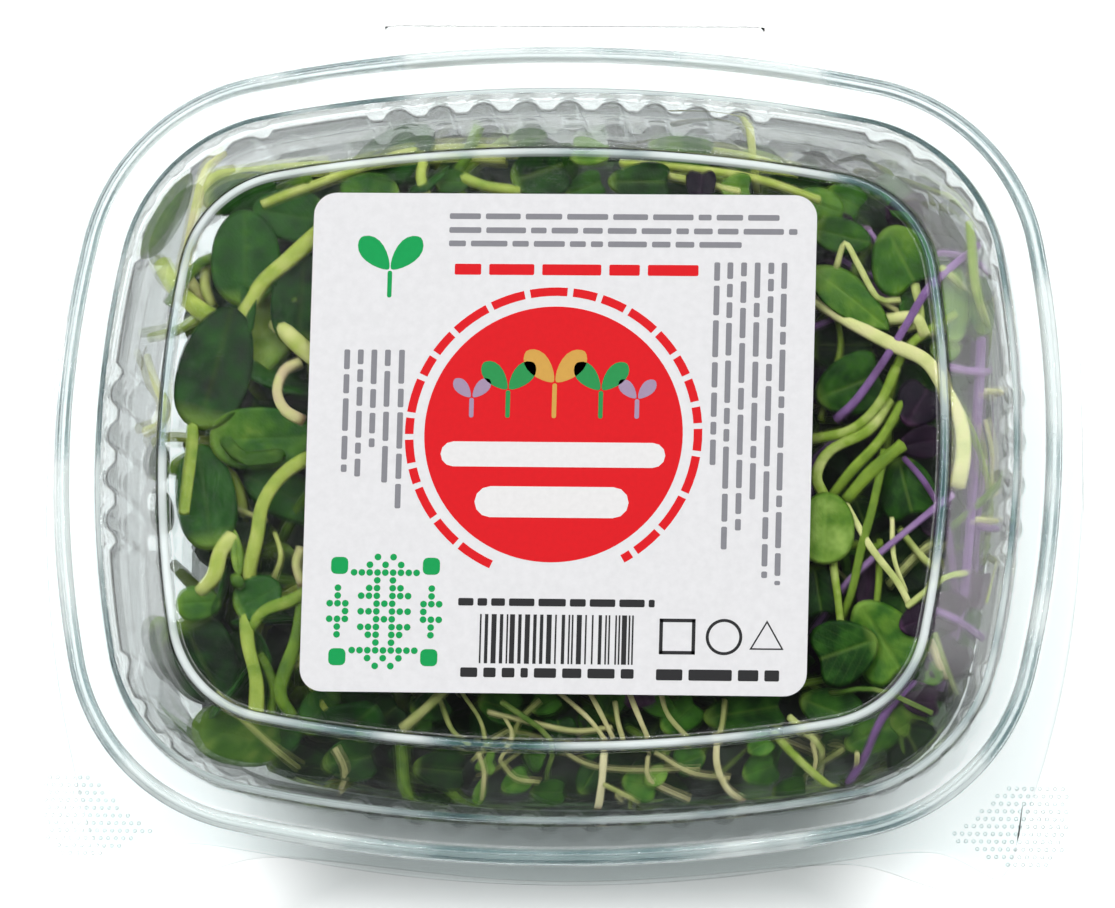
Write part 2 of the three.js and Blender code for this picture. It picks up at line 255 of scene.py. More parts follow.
def flangePoints(edge, stations):  # the cut edge of a flange at the same stations
    (fromX, fromY), (toX, toY) = edge["cornerFrom"], edge["cornerTo"]
    (sideX, sideY), (dipX, dipY) = edge["sideTo"], edge["dip"]
    back, tab, ear, front = edge["back"], edgeShape["tab"], edge["earRadius"], edge["front"]
    earX, earY = sideX - ear, sideY - ear
    lean, run = (sideX - toX) / 3, (toY - sideY) / 3
    notch = (tab + edgeShape["tabRun"], fromY + edgeShape["tabDrop"])
    fromPull = (fromX + edgeShape["cornerPull"], fromY - edgeShape["cornerLean"])
    toPull = (toX - edgeShape["cornerLean"], toY + edgeShape["cornerPull"])
    upper = (toX + edge["sideBow"][0], toY - run)
    lower = (sideX - lean + edge["sideBow"][1], sideY + run)
    earHandle, dipHandle = (earX - edgeShape["earPull"], earY), (dipX + edgeShape["earPull"], dipY)
    dipFront, middleFront = (dipX - edgeShape["dipPull"], dipY), (dipX - edgeShape["frontPull"], front)

    def bezier(t, *p):
        return sum(c * t ** k * (1 - t) ** (3 - k) * np.array(q)
                   for k, (c, q) in enumerate(zip((1, 3, 3, 1), p)))

    def line(t, a, b):
        return (1 - t) * np.array(a) + t * np.array(b)

    stretches = [
        (2, lambda t: line(t, (0, back), (tab, back))),
        (1, lambda t: line(t, (tab, back), notch)),
        (2, lambda t: line(t, notch, (fromX, fromY))),
        (10, lambda t: bezier(t, (fromX, fromY), fromPull, toPull, (toX, toY))),
        (9, lambda t: bezier(t, (toX, toY), upper, lower, (sideX, sideY))),
        (5, lambda t: np.array([earX + ear * math.cos(t * math.pi / 2),
                                sideY - ear * math.sin(t * math.pi / 2)])),
        (5, lambda t: bezier(t, (earX, earY), earHandle, dipHandle, (dipX, dipY))),
        (6, lambda t: bezier(t, (dipX, dipY), dipFront, middleFront, (0, front))),
    ]
    found = []
    for s in np.mod(np.asarray(stations, float), whole):
        left = s > whole / 2
        place = whole - s if left else s
        for count, curve in stretches:
            if place <= count + 1e-9:
                point = curve(min(place / count, 1))
                break
            place -= count
        found.append((edge["shift"] + (-point[0] if left else point[0]), point[1]))
    cut = np.array(found)
    # the cut runs along the ridge's foot where it would come nearer than the margin
    foot, out = ovalPoints(edge["ridgeFoot"] + form["ridgeMargin"], stations)
    inside = np.maximum(((foot + form["centre"] - cut) * out).sum(1), 0)
    return cut + out * inside[:, None]


def fillet(corners):  # (grow, z, radius) corners to a smooth line
    line = [np.array(corners[0][:2], float)]
    for before, here, after in zip(corners, corners[1:], corners[2:]):
        a, p, b = (np.array(c[:2], float) for c in (before, here, after))
        inLength, outLength = np.linalg.norm(p - a), np.linalg.norm(b - p)
        inward, outward = (p - a) / inLength, (b - p) / outLength
        bend = math.acos(np.clip(inward @ outward, -1, 1))
        pull = min(here[2] * math.tan(bend / 2), 0.47 * inLength, 0.47 * outLength)
        first, last = p - inward * pull, p + outward * pull
        count = max(2, math.ceil(math.degrees(bend) / 11))
        for k in range(count + 1):
            t = k / count
            line.append((1 - t) ** 2 * first + 2 * t * (1 - t) * p + t * t * last)
    line.append(np.array(corners[-1][:2], float))
    return np.array(line)


def squareTo(line):  # unit normals of a profile line, pointing up and out of the pack
    along = np.gradient(line, axis=0)
    normal = np.stack([-along[:, 1], along[:, 0]], 1) * -1
    return normal / np.linalg.norm(normal, axis=1, keepdims=True)


flangeShares = (0.25, 0.5, 0.75)  # rings across the flange, from the cut edge to the wall
cutAngles = (0, 0.6, 1.1, math.pi / 2)  # the rounding of the cut edge


def mouldSheet(name, edge, rim, corners, middleRings, stations, bulge=None, ripple=None):
    line = fillet(corners)
    normals = squareTo(line)
    under = line - normals * form["sheet"]
    outer = flangePoints(edge, stations)
    foot, _ = ovalPoints(corners[0][0], stations)
    centre = np.array(form["centre"])
    count = len(stations)
    edgeRound = form["sheet"] / 2

    def flangeRing(share, z, inset=0.0):
        inward = foot + centre - outer
        ring = outer + inward * share + inward / np.linalg.norm(inward, axis=1, keepdims=True) * inset
        return np.column_stack([ring, np.full(count, z)])

    def cutRing(angle, way):
        return flangeRing(0, rim - edgeRound + way * edgeRound * math.sin(angle),
                          edgeRound * (1 - math.cos(angle)))

    def profileRing(grow, z):
        xy, out = ovalPoints(grow, stations)
        if bulge is not None:
            xy = xy + out * bulge(stations, z)[:, None]
        return np.column_stack([xy + centre, np.full(count, rim + z)])

    def middleRing(share, z, grow):
        xy, _ = ovalPoints(grow, stations)
        return np.column_stack([xy * share + centre, np.full(count, rim + z)])

    rings = [cutRing(angle, 1) for angle in cutAngles]
    rings += [flangeRing(share, rim) for share in flangeShares]
    rings += [profileRing(*p) for p in line]
    rings += [middleRing(share, line[-1][1], line[-1][0]) for share in middleRings]
    topRings = len(rings)
    below = [profileRing(*p) for p in under]
    lower = [middleRing(share, under[-1][1], under[-1][0]) for share in middleRings]
    rings += lower[::-1] + below[::-1]
    rings += [flangeRing(share, rim - form["sheet"]) for share in flangeShares[::-1]]
    rings += [cutRing(angle, -1) for angle in cutAngles[:0:-1]]
    if ripple is not None:
        for ring in rings:
            ring[:, 2] += ripple(ring)
    points = np.vstack(rings)
    faces = []
    total = len(rings)
    for k in [k for k in range(total) if k != topRings - 1]:
        faces += ringFaces(k * count, ((k + 1) % total) * count, count)
    for ringIndex, flip in ((topRings - 1, False), (topRings, True)):
        base = ringIndex * count
        faces += capFaces(base, len(points), count, flip)
        points = np.vstack([points, [[*centre, points[base:base + count, 2].mean()]]])
    made = newMesh(name, points, faces)
    fixNormals(made)
    print(name, "faces", len(made.data.polygons))
    return made


def fixNormals(piece):
    work = bmesh.new()
    work.from_mesh(piece.data)
    bmesh.ops.recalc_face_normals(work, faces=work.faces)
    if work.calc_volume(signed=True) < 0:
        bmesh.ops.reverse_faces(work, faces=work.faces)
    work.to_mesh(piece.data)
    work.free()


# clear PET, thermoformed: glass-clear thin sheet, teal where light runs along it
petLook = {
    "face": "fafcfc",  # what is seen through it square on
    "edge": "e6f4f3",  # and edge on
    "ior": 1.5,
    "roughness": 0.015,
    "waviness": 0.02,
    "paintedHighlight": 0.56,  # share of painted highlight: white put on the sheet over a ridge or the dome's foot, where its bright reflections fall
    "paintedHighlightAt": ((0.0412, 0.0416, 0.0424, 0.0428), (0.0478, 0.0481, 0.0490, 0.0495)),  # heights in metres
    "straight": 0.7,  # share of the light that goes through unbent
}


def petMaterial():
    made, tree = newMaterial("clearThermoformedPet")
    place = addNode(tree, "TexCoord").outputs["Object"]
    # 16 mm pulls in the warm sheet
    wave = addNode(tree, "TexNoise", {"Vector": place, "Scale": 60.0, "Detail": 0.0})
    bump = addNode(tree, "Bump", {"Height": wave.outputs["Fac"], "Strength": petLook["waviness"],
                                  "Distance": 0.001})
    steep = addNode(tree, "LayerWeight", {"Blend": 0.5}).outputs["Facing"]
    tint = addNode(tree, "ValToRGB", {"Fac": steep}, [
        (0.0, petLook["face"]), (0.6, petLook["face"]), (0.97, petLook["edge"])])
    sheet = addNode(tree, "BsdfPrincipled", {
        "Base Color": tint, "Roughness": petLook["roughness"], "IOR": petLook["ior"],
        "Transmission Weight": 1.0, "Normal": bump.outputs["Normal"]})
    # the drawn sheet is too thin to bend much light
    through = addNode(tree, "BsdfTransparent", {"Color": tint})
    gloss = addNode(tree, "BsdfGlossy", {"Roughness": petLook["roughness"], "Normal": bump.outputs["Normal"]})
    mirror = addNode(tree, "Fresnel", {"IOR": petLook["ior"]})
    film = addNode(tree, "MixShader", {0: mirror, 1: through, 2: gloss})
    bent = addNode(tree, "MixShader", {0: petLook["straight"], 1: sheet, 2: film})
    height = addNode(tree, "SeparateXYZ", {0: place}).outputs["Z"]
    levels = []
    for low, full, still, high in petLook["paintedHighlightAt"]:
        rising = addNode(tree, "MapRange", {"Value": height, "From Min": low, "From Max": full})
        falling = addNode(tree, "MapRange", {"Value": height, "From Min": high, "From Max": still})
        levels.append(addNode(tree, "Math", {0: rising, 1: falling}, operation="MULTIPLY"))
    paintedHighlightBands = addNode(tree, "Math", {0: levels[0], 1: levels[1]}, operation="MAXIMUM")
    # painted highlight: 45 mm long white streaks along those bands
    highlightStreakNoise = addNode(tree, "TexNoise", {"Vector": place, "Scale": 22.0, "Detail": 2.0, "Roughness": 0.7})
    paintedHighlightStreaks = addNode(tree, "MapRange", {"Value": highlightStreakNoise.outputs["Fac"], "From Min": 0.42, "From Max": 0.62,
                                         "To Min": 0.14, "To Max": petLook["paintedHighlight"]})
    white = addNode(tree, "Math", {0: paintedHighlightBands, 1: paintedHighlightStreaks}, operation="MULTIPLY")
    paintedHighlightTint = addNode(tree, "ValToRGB", {"Fac": highlightStreakNoise.outputs["Fac"]}, [(0.44, "7fb0b4"), (0.56, "f2fbfa")])
    # the painted highlight is a white sheet, teal towards its fringes, mixed into the clear sheet
    paintedHighlightSheet = addNode(tree, "BsdfPrincipled", {"Base Color": paintedHighlightTint, "Roughness": 0.25})
    seen = addNode(tree, "MixShader", {0: white, 1: bent, 2: paintedHighlightSheet})
    clear = addNode(tree, "BsdfTransparent", {"Color": linear("fafcfc")})
    path = addNode(tree, "LightPath")
    lamps = addNode(tree, "Math", {0: path.outputs["Is Shadow Ray"], 1: path.outputs["Is Diffuse Ray"]},
                    operation="MAXIMUM")
    both = addNode(tree, "MixShader", {0: lamps, 1: seen, 2: clear})
    addNode(tree, "OutputMaterial", {"Surface": both})
    return made


clearPet = petMaterial()


# lid
lidShape = {
    "profile": [  # grow, height over the rim, radius
        (8.9, 0, 0), (8.4, 0, 0.9), (7.2, 1.8, 0.9), (5.9, 1.8, 0.9), (4.7, 0, 0.9),
        (0, 0, 0.9), (-1.2, 2, 0.9), (-10.7, 5.2, 2.5), (-13.1, 5.8, 0.9), (-14, 7.4, 0.6),
        (-15, 7.4, 0.6), (-16, 6.4, 0.8), (-17.5, 6.4, 0)],
    "middleRings": (0.9, 0.75, 0.6, 0.45, 0.3, 0.15),
    "stations": 360,
    "sag": 0.12,
}


def lidRipple(ring):
    x, y = ring[:, 0], ring[:, 1]
    wave = np.sin(x / 19 + 0.6) * np.cos(y / 23) + 0.5 * np.sin(x / 9 + y / 13)
    return lidShape["sag"] * wave * smoothStep(-17, -30, growOf(ring[:, :2]))


lidStations = np.arange(lidShape["stations"]) * whole / lidShape["stations"]
lidShell = mouldSheet("lid_shell", lidEdge, form["lidRim"], lidShape["profile"], lidShape["middleRings"],
                      lidStations, ripple=lidRipple)
lidShell.data.materials.append(clearPet)
print("lid made")


# tray
trayShape = {
    "profile": [
        (8.4, 0, 0), (7.9, 0, 0.9), (7, 1.5, 0.8), (6.1, 1.5, 0.8), (5.2, 0, 0.9),
        (-0.3, 0, 1.2), (-0.9, -4.7, 1.0), (-3.4, -5.2, 1.2), (-4.56, -20, 2), (-5.8, -35.8, 2.2),
        (-8.6, -39.6, 1.5), (-10.4, -39.6, 0)],
    "middleRings": (0.95, 0.8, 0.6, 0.4, 0.2),
    "ribPitch": 8.57,
    "ribHalf": 2.9,
    "ribBulge": 1.9,
    "ribsBack": 5,  # in each quarter, with the one in the middle of the back or front
    "ribsSide": 2,
    "panelBulge": 1.3,
    "panelEdge": 1.2,
    "backPanel": (50.0, 10.5),  # its middle's way from the middle of the back, and its half width
    "sidePanel": (29.0, 11.5),  # the same from the middle of the side
    "cornerPanels": 4,
    "cornerFrom": 61.8,
    "cornerTo": 41.8,
    "cornerGap": 0.8,
    "bulgeStarts": (-4.75, -5.05),  # heights under the rim between which the bulges rise, thin and end
    "bulgeThins": (-5.2, -35.8),
    "bulgeEnds": (-35, -38.5),
    "fineStep": 0.66,
    "coarseStep": 1.35,
    "fineBack": 40,  # the ribs of the back and the side lie this near to its middle
    "fineSide": 18,
}


def quarterLengths():  # arc length from the middle of the back, for stations 0 to 20
    fine = np.linspace(0, quarter, 2001)
    xy, _ = ovalPoints(-3.4, fine)
    return fine, np.concatenate([[0], np.cumsum(np.linalg.norm(np.diff(xy, axis=0), axis=1))])


fineStations, fineLengths = quarterLengths()
quarterLength = fineLengths[-1]


def panelList():  # middle, half width, bulge and kind of each rib and panel along a quarter
    ribs = [k * trayShape["ribPitch"] for k in range(trayShape["ribsBack"])]
    ribs += [quarterLength - (k + 0.5) * trayShape["ribPitch"] for k in range(trayShape["ribsSide"])]
    (backMiddle, backHalf), (sideMiddle, sideHalf) = trayShape["backPanel"], trayShape["sidePanel"]
    flat = [(backMiddle, backHalf), (quarterLength - sideMiddle, sideHalf)]
    start, end = trayShape["cornerFrom"], quarterLength - trayShape["cornerTo"]
    pitch = (end - start) / trayShape["cornerPanels"]
    flat += [(start + (k + 0.5) * pitch, pitch / 2 - trayShape["cornerGap"])
             for k in range(trayShape["cornerPanels"])]
    found = [(middle, trayShape["ribHalf"], trayShape["ribBulge"], True) for middle in ribs]
    return found + [(middle, half, trayShape["panelBulge"], False) for middle, half in flat]


panels = panelList()


def trayBulge(stations, z):
    s = np.mod(np.asarray(stations, float), whole)
    half = np.where(s > whole / 2, whole - s, s)
    step = np.where(half > quarter, 2 * quarter - half, half)
    length = np.interp(step, fineStations, fineLengths)
    out = np.zeros(len(s))
    for middle, width, rise, rib in panels:
        away = np.abs(length - middle)
        if rib:
            radius = (width ** 2 + rise ** 2) / (2 * rise)
            arc = np.sqrt(np.maximum(radius ** 2 - np.minimum(away, width) ** 2, 0)) - (radius - rise)
            out = np.maximum(out, np.where(away < width, arc, 0))
        else:
            out = np.maximum(out, rise * (1 - smoothStep(width - trayShape["panelEdge"], width, away)))
    fades = ("bulgeStarts", "bulgeThins", "bulgeEnds")
    starts, thins, ends = (smoothStep(*trayShape[key], z) for key in fades)
    return out * (starts if z > -5 else 1 - 0.5 * thins - 0.5 * ends)


def trayStations():
    wanted = []
    place = 0.0
    while place < quarterLength:
        wanted.append(place)
        near = min(abs(place - m) - w for m, w, _, _ in panels) < 0.5
        ribbed = place < trayShape["fineBack"] or place > quarterLength - trayShape["fineSide"]
        place += trayShape["fineStep"] if near and ribbed else trayShape["coarseStep"]
    first = np.interp(wanted, fineLengths, fineStations)
    half = np.concatenate([first, 2 * quarter - first[::-1]])
    half = np.concatenate([half, [2 * quarter]]) if half[-1] < 2 * quarter - 1e-6 else half
    both = np.concatenate([half, whole - half[::-1]])
    return np.unique(np.round(np.mod(both, whole), 5))


trayShell = mouldSheet("tray_shell", trayEdge, form["trayRim"], trayShape["profile"],
                       trayShape["middleRings"], trayStations(), bulge=trayBulge)
trayShell.data.materials.append(clearPet)
print("tray made")


# the living hinge: both flanges rolled into one thin curl along the back
hingeShape = {
    "y": 85.7, "z": 40.2, "radius": 0.8, "sheet": 0.25, "half": 38.0, "halfTurn": 109, "crinkle": 0.06,
    "endRun": 2.5, "endTaper": 0.3, "steps": 76, "arcs": 18,
}


def hingeCurl():
    steps, arcs, half = hingeShape["steps"], hingeShape["arcs"], hingeShape["half"]
    turns = np.radians(np.linspace(-hingeShape["halfTurn"], hingeShape["halfTurn"], arcs))
    rows = []
    for k in range(steps + 1):
        x = half * (2 * k / steps - 1)
        taper = hingeShape["endTaper"] * smoothStep(half - hingeShape["endRun"], half, abs(x))
        crinkle = hingeShape["crinkle"] * (0.5 + 0.5 * math.sin(2.1 * x) * math.sin(0.7 * x))
        outer = hingeShape["radius"] * (1 - taper) - crinkle
        inner = outer - hingeShape["sheet"]
        ring = [(r * math.cos(t), r * math.sin(t)) for r, way in ((outer, turns), (inner, turns[::-1]))
                for t in way]
        rows.append([(x, hingeShape["y"] + c, hingeShape["z"] + d) for c, d in ring])
    count = len(rows[0])
    faces = []
    for k in range(steps):
        faces += ringFaces(k * count, (k + 1) * count, count)
    for k, flip in ((0, True), (steps, False)):
        for i in range(arcs - 1):
            cap = (k * count + i, k * count + i + 1, k * count + count - 2 - i, k * count + count - 1 - i)
            faces.append(cap[::-1] if flip else cap)
    made = newMesh("hinge_curl", np.array(rows).reshape(-1, 3), faces)
    fixNormals(made)
    made.data.materials.append(clearPet)
    return made


hinge = hingeCurl()
print("hinge made")


# raised grip dots on the lid's two ears
gripShape = {
    "pitch": 1.5, "radius": 0.4, "height": 0.05, "ridgeGap": 13.5, "edgeGap": 3.6, "inner": 70.0,
    "top": -66.0, "rows": 24, "columns": 30,
}


def gripSpots():  # a staggered field of points between the ridge and the cut edge of each ear
    pitch = gripShape["pitch"]
    (sideX, sideY), ear = lidEdge["sideTo"], lidEdge["earRadius"]
    (dipX, dipY), gap = lidEdge["dip"], gripShape["edgeGap"]
    found = []
    for row in range(gripShape["rows"]):
        for column in range(gripShape["columns"]):
            x = gripShape["inner"] + pitch * (column + 0.5 * (row % 2))
            y = gripShape["top"] - pitch * row
            edge = dipY + (sideY - ear - dipY) * float(smoothStep(dipX, sideX - ear, x))
            cornered = x > sideX - ear and y < sideY and math.hypot(x - sideX + ear, y - sideY) > ear - gap
            if x < sideX - gap and y > edge + gap and not cornered:
                found += [(x, y, form["lidRim"]), (-x, y, form["lidRim"])]
    spots = np.array(found)
    return spots[growOf(spots[:, :2], 10.0) > gripShape["ridgeGap"]]


def dotTree():  # a low round dot on every point
    tree = bpy.data.node_groups.new("gripDots", "GeometryNodeTree")
    face = tree.interface
    face.new_socket("Geometry", in_out="INPUT", socket_type="NodeSocketGeometry")
    for name, kind in (("Radius", "Float"), ("Height", "Float"), ("Material", "Material")):
        face.new_socket(name, in_out="INPUT", socket_type="NodeSocket" + kind)
    face.new_socket("Geometry", in_out="OUTPUT", socket_type="NodeSocketGeometry")
    given = addNode(tree, "NodeGroupInput").outputs
    spots = addNode(tree, "GeometryNodeMeshToPoints", {"Mesh": given["Geometry"]})
    ball = addNode(tree, "GeometryNodeMeshUVSphere", {"Segments": 8, "Rings": 4, "Radius": 1.0})
    size = addNode(tree, "CombineXYZ", {0: given["Radius"], 1: given["Radius"], 2: given["Height"]})
    laid = addNode(tree, "GeometryNodeInstanceOnPoints", {"Points": spots, "Instance": ball.outputs["Mesh"],
                                                          "Scale": size})
    real = addNode(tree, "GeometryNodeRealizeInstances", {0: laid})
    smooth = addNode(tree, "GeometryNodeSetShadeSmooth", {0: real})
    finish = addNode(tree, "GeometryNodeSetMaterial", {0: smooth, "Material": given["Material"]})
    addNode(tree, "NodeGroupOutput", {0: finish})
    return tree


def gripDots():
    spots = newMesh("grip_dots", gripSpots(), [], smooth=False)
    modifier = spots.modifiers.new("dots", "NODES")
    modifier.node_group = dotTree()
    for name, value in (("Radius", gripShape["radius"] * mm), ("Height", gripShape["height"] * mm),
                        ("Material", clearPet)):
        setInput(modifier, name, value)
    mesh = bpy.data.meshes.new_from_object(spots.evaluated_get(bpy.context.evaluated_depsgraph_get()))
    spots.modifiers.remove(modifier)
    spots.data = mesh
    print("grip dots faces", len(mesh.polygons))
    return spots


grips = gripDots()


# the greens: shoots of four kinds laid over a core painted dark as shade, pressed by the tray and the lid
heapShape = {
    # grow, height of the underside of the lid
    "roof": ((-60, 46.8), (-16.2, 46.8), (-15, 47.5), (-14, 47.5), (-13, 46.3), (-10.7, 45.6), (-1.3, 42.4)),
    # height, inner side of the tray
    "wall": ((0.6, -9.0), (4.2, -6.2), (34.6, -3.8), (35.4, -1.5), (42, -1.5)),
    "clearance": 0.45,
    "leftGap": 9.0,  # how far the scattered shoots stay back from the left wall
    "floor": 1.2,
    "softWall": 2.5,  # how gently points are pressed in at the wall and the roof
    "softRoof": 2.0,
    "coreStations": 120,
    "coreTop": 33.0,
    "coreLumps": 3.2,
    "coreInset": 8.5,
    "coreLeftGap": 20.0,
    "coreRightReach": 3.0,
    "coreFrontReach": 7.0,
}


def lumpAt(x, y):
    slow = np.sin(0.17 * x + 1.1) * np.cos(0.23 * y)
    return slow + 0.6 * np.sin(0.31 * y - 0.12 * x) + 0.5 * np.sin(0.5 * x + 0.4 * y)


# bends points back inside the tray and under the lid, each layer a little deeper
def pressIn(points, layer, leftGap=0.0):
    centre = np.array(form["centre"])
    roofGrow, roofZ = zip(*heapShape["roof"])
    wallZ, wallGrow = zip(*heapShape["wall"])
    p = np.array(points, float)
    p[:, 2] = np.maximum(p[:, 2], heapShape["floor"])
    soft = heapShape["softWall"]
    for _ in range(2):
        grow = growOf(p[:, :2])
        leftness = np.clip(-(p[:, 0] - centre[0]) / form["halfWidth"], 0, 1) ** 3
        wall = np.interp(p[:, 2], wallZ, wallGrow)
        limit = wall - heapShape["clearance"] - 0.5 * layer - leftGap * leftness
        start = limit - soft
        wanted = np.where(grow > start, limit - soft * np.exp(-(grow - start) / soft), grow)
        out = p[:, :2] - centre
        away = np.linalg.norm(out, axis=1, keepdims=True)
        p[:, :2] -= out / np.maximum(away, 1e-6) * (grow - wanted)[:, None]
    roof = np.interp(growOf(p[:, :2]), roofGrow, roofZ) - heapShape["clearance"] - layer
    soft = heapShape["softRoof"]
    start = roof - soft
    p[:, 2] = np.where(p[:, 2] > start, roof - soft * np.exp(-(p[:, 2] - start) / soft), p[:, 2])
    return p


def newBunch():
    return {"points": [], "faces": [], "blade": [], "tone": [], "layer": [], "uv": [], "count": 0}


def addPart(bunch, points, faces, blade, tone, layer, uv):
    start = bunch["count"]
    bunch["points"].append(points)
    bunch["faces"] += [tuple(start + v for v in face) for face in faces]
    n = len(points)
    bunch["blade"].append(np.broadcast_to(blade, n))
    bunch["tone"].append(np.full(n, tone))
    bunch["layer"].append(np.full(n, layer))
    bunch["uv"].append(uv)
    bunch["count"] += n


def bunchMesh(name, bunch):
    points, uv = np.concatenate(bunch["points"]), np.concatenate(bunch["uv"])
    attributes = {key: np.concatenate(bunch[key]) for key in ("blade", "tone", "layer")}
    return newMesh(name, points, bunch["faces"], attributes, uv)


outlines = {
    "oblong": lambda a: (0.5 * np.sign(np.cos(a)) * np.abs(np.cos(a)) ** 0.9,
                         0.5 * np.sin(a) * (1 - 0.1 * np.cos(a))),
    "heart": lambda a: (0.5 * np.cos(a) * (1 - 0.34 * np.exp(-(a / 0.5) ** 2)) + 0.04,
                        0.5 * np.sin(a) * (1 + 0.22 * np.cos(a))),
    "round": lambda a: (0.5 * np.cos(a), 0.5 * np.sin(a)),
    "lance": lambda a: (0.5 * np.cos(a),
                        0.5 * np.sin(a) * (0.55 + 0.45 * np.abs(np.sin(a))) * (1 - 0.25 * np.cos(a))),
    "lobed": lambda a: (0.36 * np.cos(a) * (1 + 0.38 * np.cos(3 * a)) + 0.02,
                        0.46 * np.sin(a) * (1 + 0.38 * np.cos(3 * a))),
}


def addBlade(bunch, kind, place, length, width, heading, pitch, roll, tone, layer=0.0, *, cup, bend, thick,
             rings, sides, ripple, phase):
    a = -math.pi + 2 * math.pi * np.arange(sides) / sides
    ox, oy = outlines[kind](a)
    shares = (np.arange(1, rings + 1) / rings) ** 0.85
    u = np.concatenate([[0], np.outer(shares, ox).ravel()])
    v = np.concatenate([[0], np.outer(shares, oy).ravel()])
    rim = np.concatenate([[0], np.repeat(shares, sides)])
    angle = np.concatenate([[0], np.tile(a, rings)])
    z = bend * length * (4 * u ** 2 - 0.5) * 0.5 + cup * width * 4 * v ** 2 * 0.5
    z = z - 0.25 * np.exp(-(v / 0.05) ** 2) * (rim < 1)  # the groove over the midrib
    z += ripple * width * np.sin(5 * angle + phase) * rim ** 3
    half = thick / 2 * (1 - rim ** 5)
    top = np.column_stack([u * length, v * width, z + half])
    inner = 1 + (rings - 1) * sides
    under = np.column_stack([u * length, v * width, z - half])[:inner]
    n = len(top)
    faces = [(0, a, b) for a, b, _ in capFaces(1, 0, sides)]
    for k in range(rings - 1):
        faces += ringFaces(1 + k * sides, 1 + (k + 1) * sides, sides, True)
    faces += [(b, a, n) for a, b, _ in capFaces(n + 1, n, sides)]
    for k in range(rings - 2):
        faces += [f[::-1] for f in ringFaces(n + 1 + k * sides, n + 1 + (k + 1) * sides, sides, True)]
    faces += [f[::-1] for f in ringFaces(n + 1 + (rings - 2) * sides, 1 + (rings - 1) * sides, sides, True)]
    points = np.vstack([top, under])
    h, p, r = (math.radians(d) for d in (heading, pitch, roll))
    rolled = np.array([[1, 0, 0], [0, math.cos(r), -math.sin(r)], [0, math.sin(r), math.cos(r)]])
    pitched = np.array([[math.cos(p), 0, -math.sin(p)], [0, 1, 0], [math.sin(p), 0, math.cos(p)]])
    headed = np.array([[math.cos(h), -math.sin(h), 0], [math.sin(h), math.cos(h), 0], [0, 0, 1]])
    points = points @ (headed @ pitched @ rolled).T + np.asarray(place, float)
    uv = np.column_stack([np.concatenate([u, u[:inner]]) + 0.5, np.concatenate([v, v[:inner]]) + 0.5])
    addPart(bunch, points, faces, 1.0, tone, layer, uv)


def throughPoints(path, step):  # a smooth line through given points
    p = np.asarray(path, float)
    if len(p) == 2:
        p = np.array([p[0], (p[0] + p[1]) / 2, p[1]])
    padded = np.vstack([2 * p[0] - p[1], p, 2 * p[-1] - p[-2]])
    line = []
    for a, b, c, d in zip(padded, padded[1:], padded[2:], padded[3:]):
        count = max(2, int(np.linalg.norm(c - b) / step))
        for t in np.arange(count) / count:
            line.append(0.5 * (2 * b + (c - a) * t + (2 * a - 5 * b + 4 * c - d) * t ** 2
                               + (3 * b - a - 3 * c + d) * t ** 3))
    return np.vstack(line + [p[-1]])


def addStem(bunch, path, radius, endRadius, tone, layer=0.0, *, sides, step):
    line = throughPoints(path, step)
    n = len(line)
    along = np.gradient(line, axis=0)
    along /= np.linalg.norm(along, axis=1, keepdims=True) + 1e-9
    side = np.cross(along[0], (0.3, 0.2, 1))
    side /= np.linalg.norm(side)
    share = np.linspace(0, 1, n)
    thick = radius + (endRadius - radius) * share
    thick = thick * (1 + 0.06 * np.sin(9 * share + 20 * tone))
    turnsAround = 2 * math.pi * np.arange(sides) / sides
    points = []
    for k in range(n):
        side = side - along[k] * (side @ along[k])
        side /= np.linalg.norm(side)
        other = np.cross(along[k], side)
        ring = np.cos(turnsAround)[:, None] * side + np.sin(turnsAround)[:, None] * other
        points.append(line[k] + thick[k] * ring)
    points = np.vstack(points + [line[:1] - along[0] * 0.25 * radius,
                                 line[-1:] + along[-1] * 0.25 * endRadius])
    faces = []
    for k in range(n - 1):
        faces += ringFaces(k * sides, (k + 1) * sides, sides)
    for i in range(sides):
        j = (i + 1) % sides
        faces.append((n * sides, j, i))
        faces.append((n * sides + 1, (n - 1) * sides + i, (n - 1) * sides + j))
    uv = np.column_stack([np.append(np.repeat(share, sides), (0, 1)),
                          np.append(np.tile(np.arange(sides) / sides, n), (0, 0))])
    addPart(bunch, points, faces, 0.0, tone, layer, uv)


# What lies uppermost, as the photograph shows it. A leaf is its outline, its place in the photograph and its
# height, length, width, heading, pitch, roll and tone. A stem is its radius at each end, its tone, and the
# points that it passes, in the photograph with their heights.

